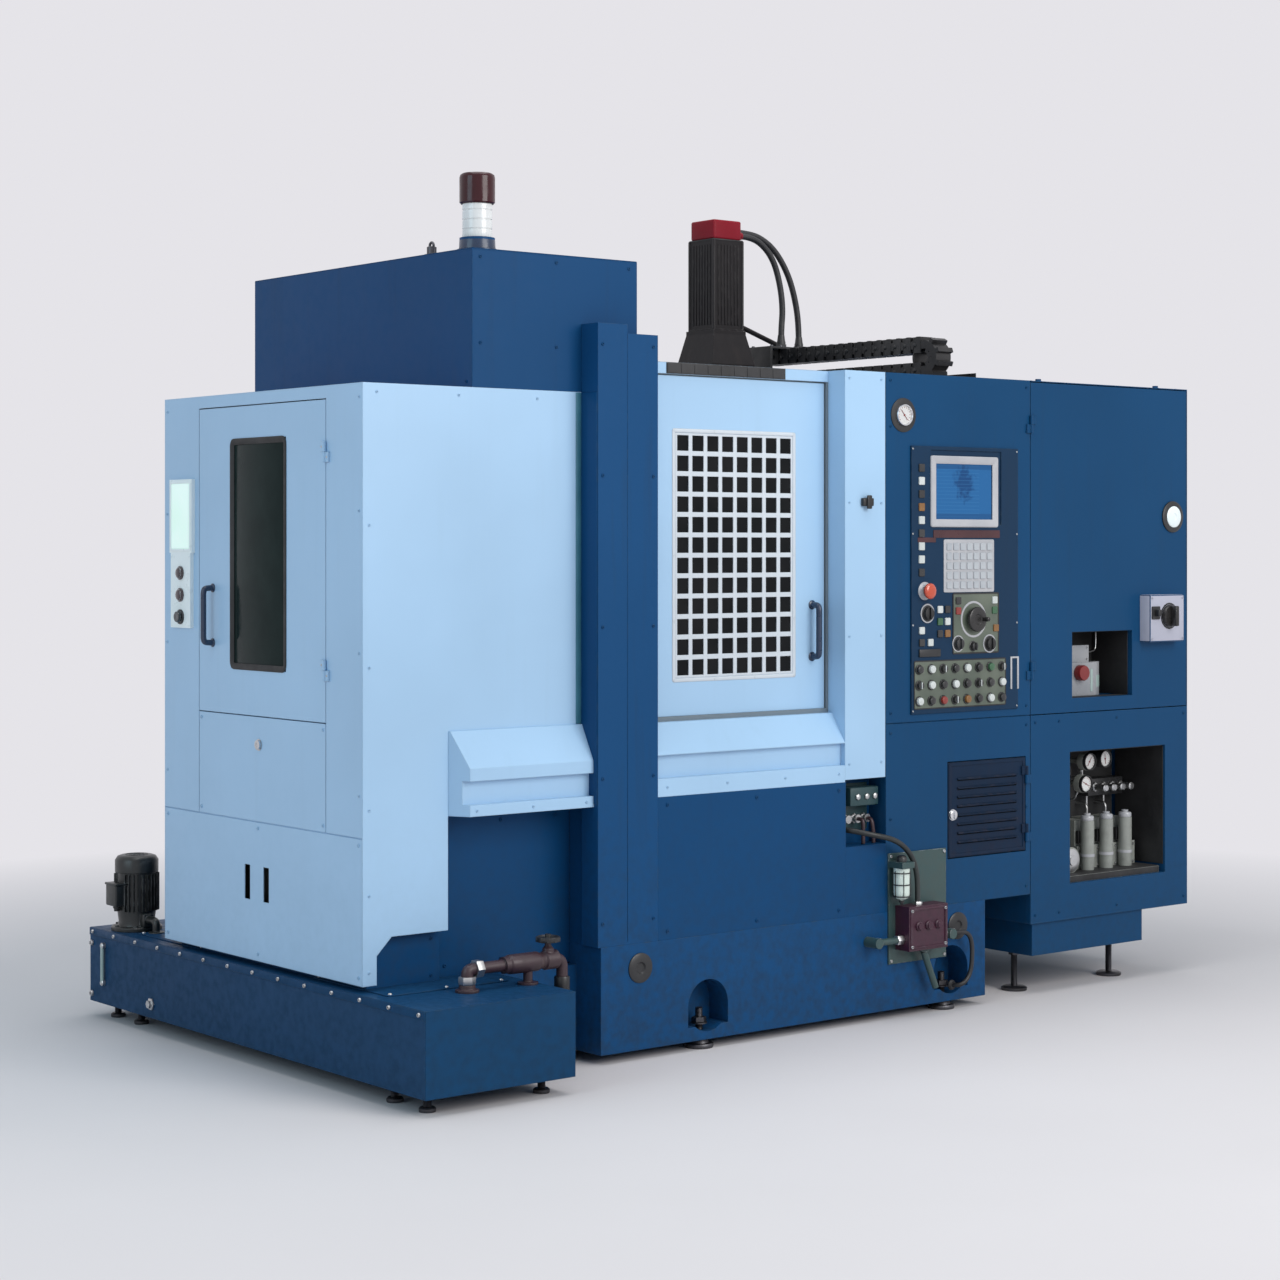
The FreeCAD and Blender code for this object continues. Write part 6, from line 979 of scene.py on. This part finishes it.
# --- Cabinet door fittings ---
# The main switch sits in a pale grey cast box on the power door: a black rotary handle and a
# smaller black toggle. A round lock with a pale cap in a black seat keeps the door shut.
pale_cast = painted("pale_cast_box", (0.44, 0.44, 0.52), (0.30, 0.30, 0.34), (0.16, 0.16, 0.18), 0.36, True)
surround("side", (766, 1579, 1282), (93.6, 83.6), 6, (0, -46.5, 0, -4, 1.8, -0.8, 4, 0.2), False)
screws("x", 766.1, (1496, 1662), (1209, 1355), 4.5, 3)
piece("switch_box_cover", pale_cast, "power_door_body")
lathe((766.4, 1590, 1290), "x", (9, -22, 9, 0.1, 40, 0.1, 40, 8, 37, 13, 20, 13.8), 40)
block((779, 1581, 1254), (805.8, 1599, 1326), 4.5, 3)
piece("main_switch_handle", wheel_black, "main_switch_body", ["main_switch_knob"])
pad("side", (766, 1514, 1302), (21, 23), 4, 6, 1.2)
block((770, 1506, 1290), (790, 1522, 1314), 3, 3)
edging("side", (766.2, 1590, 1290), (47, 47), 46.5, 5.5, 1)
hoop((720, 1661, 1644), "x", (26.2, -0.3, 56, -0.3, 56, 5, 50, 8, 26.2, 8), 40)
piece("cabinet_lock_seat", black_satin, "power_door_body")
lathe((726.2, 1661, 1644), "x", (38, -0.3, 38, 3.5, 34, 6.2, 12, 7, 11, 5), 36)
piece("cabinet_lock_cap", call_plastic, "power_door_body")
for z in range(945, 1665, 40):
    block((-70, 1768.4, z), (370, 1769.2, z + 18), 0.3, 1)
piece("cooler_vents", black_satin)

# --- Hydraulic unit ---
# Bare grey manifold, filter cups and solenoid valves with black coils, dial gauges and bent steel
# lines, in a niche lined with black mats; their black is painted shade for the dark depth of the niche.
hydraulic_metal = painted("hydraulic_metal", (0.30, 0.31, 0.28), (0.42, 0.42, 0.41), (0.06, 0.055, 0.05), 0.38,
                          True, 0.9, 0.5)
dress(hydraulic_metal, "hydraulic_unit")
# Black mats on the niche's back, sides, roof and floor: painted shade that darkens the niche.
for x0, y0, z0, x1, y1, z1 in (
        (490, 1116.3, 398, 712, 1119, 822), (490, 1619, 398, 712, 1621.7, 822), (490, 1122, 823, 712, 1616, 825.7),
        (483.2, 1133.5, 395, 485, 1606, 817), (485, 1133.5, 391.2, 701.5, 1606, 393.5),
        (532.2, 1129, 1013, 534.2, 1441, 1239), (534.2, 1440, 1013, 700, 1442.7, 1239),
        (534.2, 1127.3, 1013, 700, 1129, 1239), (534.2, 1129, 1238.5, 700, 1440, 1240.7),
        (660, 1129, 1011.3, 700, 1440, 1013)):
    block((x0, y0, z0), (x1, y1, z1), 0.5, 1)
block((703.1, 1133.5, 370), (704.4, 1606, 390.5), 0.4, 1)
piece("niche_shade_mats", black_rubber)
FILTERS_Y = (1311, 1412, 1513)
for y in FILTERS_Y:
    block((590, y - 21, 484), (606, y + 21, 528), 3, 3)
    lathe((606, y, 506), "x", (9, -0.3, 9, 6, 6, 8), 16)
block((485.2, 1410, 640), (545, 1596, 702), 3)
lathe((560, 1413, 780), "x", (29, 0, 31, 3, 31, 52, 29.5, 55), 32)
piece("hydraulic_coils", black_satin)
for y in FILTERS_Y:
    lathe((627, y, 567), "z", (21.5, -0.3, 23.5, 3, 23.5, 14, 20.5, 18, 12, 19, 12, 26), 12, math.pi / 12)
    hoop((627, y, 440), "z", (24.1, 0, 26.2, 0, 26.2, 10, 24.1, 10), 32)
piece("hydraulic_filter_caps", pale_grey)
for y in FILTERS_Y:
    pipe([(x, y, z) for x, z in pairs((536, 565.5, 536, 585, 536, 600, 528, 612, 515, 612, 483.2, 612))], 5, 3)
pipe([(x, 1413, z) for x, z in pairs((560, 780, 540, 780, 520, 772, 512, 752, 512, 701.5))], 5, 3)
for y in range(1434, 1618, 46):
    lathe((545, y, 673), "x", (16.5, -0.3, 16.5, 14), 6)
    lathe((545, y, 673), "x", (11.5, 13.7, 11.5, 50, 13.5, 52, 13.5, 62, 10, 66), 20)
for y, high in ((1434, 600), (1526, 612)):
    pipe([(515, y, 640.5), (515, y, 630), (515, y, high)], 5, 3)
for y, z in ((1196, 748), (1330, 774), (1311, 696)):
    pipe([(587, y, z - 20), (575, y, z - 45), (560, y, z - 62), (483.2, y, z - 66)], 4, 3)
lathe((653, 1196, 437), "x", (40, -0.3, 40, 4, 30, 7, 18, 8, 18, 14), 32)
screws("x", 603, range(1300, 1583, 47), (402, 464), 5, 4)
lathe((603, 1560, 433), "x", (11, -0.3, 11, 10), 6)
piece("hydraulic_lines", zinc_steel)
dial_gauges(("hydraulic_gauge_rims", "hydraulic_gauge_dials", "hydraulic_gauge_needles"),
            black_satin, 31.5, [(615, 1196, 748, 0.5), (615, 1330, 774, -0.6), (615, 1311, 696, 1.1),
                                (615, 1413, 780, 0.1)])

# --- Lubricator ---
# A cartridge oiler in the upper niche: grey moulded reservoir with a sight strip, its pump head,
# a ribbed red filler cap and a spare can.
oiler_grey = moulded("oiler_grey", (0.26, 0.27, 0.29), (0.34, 0.34, 0.35), 0.24, 500, 0.02, Coat_Weight=0.3)
dress(oiler_grey, "lubricator")
lathe((656, 1235, 1094), "x", (24.4, 24.3, 24.4, 0.6, 27.5, 0.6, 27.5, 24, 25.5, 27.2, 0, 28), 12)
piece("oiler_filler_cap", needle_red)
pad("side", (656, 1300, 1066), (6, 40), 3, 1.6)
lathe((601, 1363, 1109.5), "z", (27.6, -70, 27.6, -30, 27.2, -28), 32)
piece("oiler_sight_strip", clear_tube)
pipe([(590, 1311, 1160), (590, 1340, 1160), (590, 1385, 1163), (588, 1402, 1175), (584, 1405, 1239.5)], 3, 3)
screws("x", 634, (1200, 1300), (1140, 1180), 4, 3)
piece("oiler_line", zinc_steel)

# --- Air unit ---
# Air service unit on a plate at the foot of the housing: grey cast head with a milky bowl in a
# wire guard, dark red valve block, zinc fittings and bent drain pipes.
air_metal = painted("air_metal", (0.035, 0.075, 0.075), (0.30, 0.33, 0.34), (0.06, 0.07, 0.06), 0.36, True, 1.0, 0.6)
dress(air_metal, "air_unit")
valve_red = painted("valve_red", (0.050, 0.010, 0.026), (0.20, 0.15, 0.17), (0.02, 0.012, 0.02), 0.40, True, 0.8, 0.6)
dress(valve_red, "air_valve")
milky = moulded("milky_bowl", (0.70, 0.82, 0.72), (0.78, 0.86, 0.78), 0.22, 120, 0.03, Coat_Weight=0.5,
                Transmission_Weight=0.10)
lathe((758, 263, 390), "z", (6, 0, 6, 3, 14, 4, 22, 9, 26.2, 18, 27, 30, 27, 105.8), 40)
piece("air_bowl_shell", milky, nodes=["air_bowl"])
for z in (402, 440, 478):
    hoop((758, 263, z), "z", (27.2, 0, 29.4, 0, 29.4, 3.5, 27.2, 3.5), 36)
for place, turn in around((758, 263, 444), "Z", 28.3, 6, math.pi / 6):
    rib(place, (1.1, 1.1, 43), 0.4, turn)
lathe((758, 263, 376), "z", (4, 0, 5, 6, 9, 8, 9, 14.2), 20)
lathe((758, 263, 516), "z", (17, -0.3, 17, 12, 13, 18, 10, 20), 12)
piece("air_bowl_guard", black_satin)
for y, deep, wide in ((238, 27.5, 15), (146.2, 17.8, 16), (442.5, 17.5, 15.5), (483.5, 16.5, 16.5)):
    lathe((758, y, 262), "y", (wide, 0, wide * 1.08, 2, wide * 1.08, deep - 2, wide, deep), 6)
lathe((758, 336, 370.3), "z", (16.5, 0, 16.5, 8, 14.5, 10.5, 9.2, 10.5, 9.2, 12.5), 6)
screws("x", 790, (278, 430), (240, 356), 6, 5)
screws("x", 726, (246, 490), (190, 530), 6, 4)
piece("air_fittings", zinc_steel)
pipe([(758, 498, 262), (758, 530, 262), (758, 566, 258), (758, 588, 232), (758, 592, 180), (758, 584, 122),
      (756, 556, 90), (744, 534, 82), (720.3, 530, 82)], 7.5, 5)
lathe((720.3, 530, 82), "x", (17, 0, 17, 4, 12, 10))
piece("air_drain_line", black_satin)
surround("side", (790, 354, 298), (82, 66), 4, (0, -0.4, 0, 2.2, 3.5, 3.4, 7, 3.4, 7, -0.4))
for y in (310, 354, 398):
    lathe((790, y, 305), "x", (15, -0.3, 15, 4, 11, 7, 11, 12), 20)
piece("air_valve_face", valve_red)

# --- Head motor ---
# The servo motor of the vertical axis on its flared mount: black ribbed body held by long tie
# bolts, and a moulded red cap that takes the two cables.
motor_black = painted("motor_black", (0.014, 0.012, 0.013), (0.10, 0.09, 0.09), (0.05, 0.035, 0.028), 0.34, True,
                      0.7, 0.5, Specular_IOR_Level=0.2)
dress(motor_black, "head_motor")
MOTOR = Vector((-213, 300, 0))
for side, axis in enumerate(("x", "y", "-x", "-y")):
    turn = Matrix.Rotation(math.pi / 2 * side, 4, "Z")
    for y in range(-45, 46, 15):
        rib(MOTOR + turn @ Vector((67.6, y, 2461)), (1.6, 3, 142), 0.8, turn)
    for way in (-1, 1):
        lathe(MOTOR + turn @ Vector((106.5, way * 60, 2109)), "z", (7.5, -0.3, 7.5, 9), 6)
        for z in (2130, 2162):
            screw(axis, MOTOR + turn @ Vector((98, way * 75, z)), 7, 5)
    lathe(MOTOR + turn @ Vector((65.5, 65.5, 2300)), "z", (6, 0, 6, 316, 4, 320), 16)
surround("top", (-213, 300, 2300), (71.5, 71.5), 6, (0, -0.3, 0, 5, 4, 6, 4, -0.3))
piece("motor_ribs", motor_black, "column_body")
cap_red = moulded("cap_red_plastic", (0.205, 0.006, 0.014), (0.24, 0.012, 0.024), 0.36, 500, 0.03,
                  Specular_IOR_Level=0.15)
block((-277, 236, 2622.2), (-149, 364, 2690), 7, 4)
for x, z in ((-213, 2660), (-179, 2642)):
    lathe((x, 363, z), "y", (14, 0, 14, 22, 12.8, 25, 11.2, 25), 20)
piece("motor_red_cap", cap_red, "column_body", ["motor_cap"])
edging("top", (-213, 300, 2619.5), (68.6, 68.6), 5, 4, 2, 2)
piece("motor_cap_seal", black_rubber, "column_body")

# --- Column, head and spindle ---
# Grey-painted castings on bare ground rails, the head's ball screw, and a bright steel spindle
# with its drive keys.
column_cast = painted("column_cast", (0.10, 0.13, 0.165), (0.34, 0.35, 0.36), (0.06, 0.06, 0.055), 0.44, True,
                      0.8, 0.6)
dress(column_cast, "column", "spindle_head", "table_saddle", "changer_arm")
rail_steel = machined("rail_steel", (0.48, 0.49, 0.51), (0.30, 0.29, 0.27), 0.24, (60, 900, 900))
dress(rail_steel, "guide_rails")
spindle_steel = machined("spindle_steel", (0.52, 0.53, 0.55), (0.36, 0.35, 0.33), 0.20, (900, 60, 900))
dress(spindle_steel, "spindle", "changer_shaft", "tool_holders")
lathe((-213, 300, 0), "z", thread(20, 758.6, 1949.7, 10), 20)
piece("head_ball_screw", spindle_steel, "lead_screw_body", ["lead_screw"])
screws("z", (-455, 29), (275, 345, 540, 607), 758.4, 12, 10)
screws("-y", (-466, 40), 250, (620, 720), 9, 7)
screws("y", (-440, 14), 632, (700, 1100, 1500, 1900, 2060), 10, 8)
screws("z", (-263, -163), (520, 565, 700), 2256.6, 6, 5)
piece("column_bolts", black_steel, "column_body")
screws("-y", (-445, 19), 170, (1450, 1540, 1700, 1790), 10, 8)
for place, turn in around((-213, -60, 1620), "Y", 88, 8, math.pi / 8):
    screw("-y", place, 7, 6)
piece("head_bolts", black_steel, "head_body")

# --- Rotary table, changer and pallets ---
# A turned steel table plate on a painted turret; a swing arm with two tines carries ground steel
# pallets, each with slots and two rows of plugged tapped holes.
table_steel = machined("table_steel", (0.42, 0.43, 0.44), (0.28, 0.27, 0.25), 0.26, (60, 900, 900))
dress(table_steel, "rotary_table", "pallets")
hoop((67, -700, 905), "z", (180.1, 0, 183.5, 1, 183.5, 10, 180.1, 11), 72)
for place, turn in around((67, -700, 929), "Z", 150, 12, math.pi / 12):
    screw("z", place, 8, 0.8)
piece("table_ring", table_steel, "table_body")
screws("-y", (-140, 67, 274), -930, (610, 668), 8, 6)
screws("z", (-140, 274), (-905, -495), 690, 10, 8)
piece("saddle_bolts", black_steel, "saddle_body")
for y in (-1300, -700):
    for place in product((-83, -8, 142, 217), (y - 120, y - 40, y + 40, y + 120), (1070,)):
        lathe(place, "z", (7.5, -0.3, 7.5, 0.5, 5, 0.9), 12)
    screws("-y", (-40, 67, 174), y - 200, 1030, 9, 4)
piece("pallet_plugs", black_steel, "changer_arm_body")
screws("z", (-148, 282), (-1050, -950), 990, 10, 8)
piece("changer_bolts", black_steel, "changer_arm_body")

# --- Tool magazine and change arm ---
# Dark blue sheet cover on the left; inside, a machined aluminium disc with collared pots, ground
# tools with their clamping nuts, and the two-jaw arm that swaps them.
dress(cabinet_paint, "magazine_cover")
screws("-y", (-955, -780, -610), -450, (885, 1420, 1965), 6, 3.5)
screws("y", (-955, -780, -610), 650, (885, 1420, 1965), 6, 3.5)
screws("z", (-955, -610), (-420, 100, 620), 1990, 6, 3.5)
piece("magazine_screws", cabinet_paint)
disc_alu = machined("disc_aluminium", (0.50, 0.51, 0.53), (0.34, 0.34, 0.34), 0.28, (900, 60, 900))
dress(disc_alu, "magazine_disc", "change_arm")
for place, turn in around((-878, 290, 1250), "X", 262, 16):
    hoop(place, "x", (34.1, 0, 36.8, 0, 36.8, 12, 34.1, 12))
for place, turn in around((-790, 290, 1250), "X", 100, 8):
    screw("-x", place, 8, 6)
piece("pot_collars", black_steel, "magazine_body")
for place, turn in around((-904, 290, 1250), "X", 262, 16):
    hoop(place, "x", (11.3, 0, 18, 0, 19.5, 2, 19.5, 16.5, 11.3, 16.5), 6)
piece("tool_nuts", spindle_steel, "magazine_body")
lathe((-500, -98, 1620), "-y", (34, -0.3, 34, 6, 28, 10), 36)
screws("-y", -500, -98, (1420, 1460, 1780, 1820), 7, 5)
piece("arm_hub_cap", black_steel, "change_arm_body")

# --- Cable chain ---
# Black moulded cable chain with a pin and two snap bars on each link, in a bent black sheet tray.
chain_black = moulded("chain_black", (0.010, 0.010, 0.011), (0.035, 0.033, 0.033), 0.36, 700, 0.05)
dress(chain_black, "cable_chain")
for k in range(17):
    x = -242.8 + 48 * k
    for z in (2135, 2221):
        lathe((x - 11, 565, z), "-y", (7.5, -0.3, 7.5, 1.4, 5.5, 2.4), 16)
        for bar in (x - 18.5, x + 15):
            block((bar, 563.6, z - 24.5), (bar + 3, 565.2, z + 24.5), 0.4, 1)
    block((x - 8, 568, 2247.8), (x + 8, 632, 2250.2), 0.8, 1)
piece("chain_pins", chain_black)
block((640.2, -725.5, 2069), (641.4, 224, 2104.6), 0.4, 1)
piece("door_head_sheet", light_paint)
block((641.5, -630, 2070), (643.2, -140, 2104.4), 0.6, 1)
for y in range(-626, -140, 54):
    block((643.2, y, 2073), (644.6, y + 40, 2101.4), 0.6, 1)
piece("door_head_rail", black_satin)
block((-274.5, 504.4, 2111), (-151.5, 505.8, 2256.2), 0.4, 1)
for x in (-274.5, -152.8):
    block((x, 505.8, 2111), (x + 1.3, 514.5, 2256.2), 0.3, 1)
    block((x, 514.5, 2248.8), (x + 1.3, 731.4, 2256.2), 0.3, 1)
piece("bridge_trim", black_satin, "column_body")
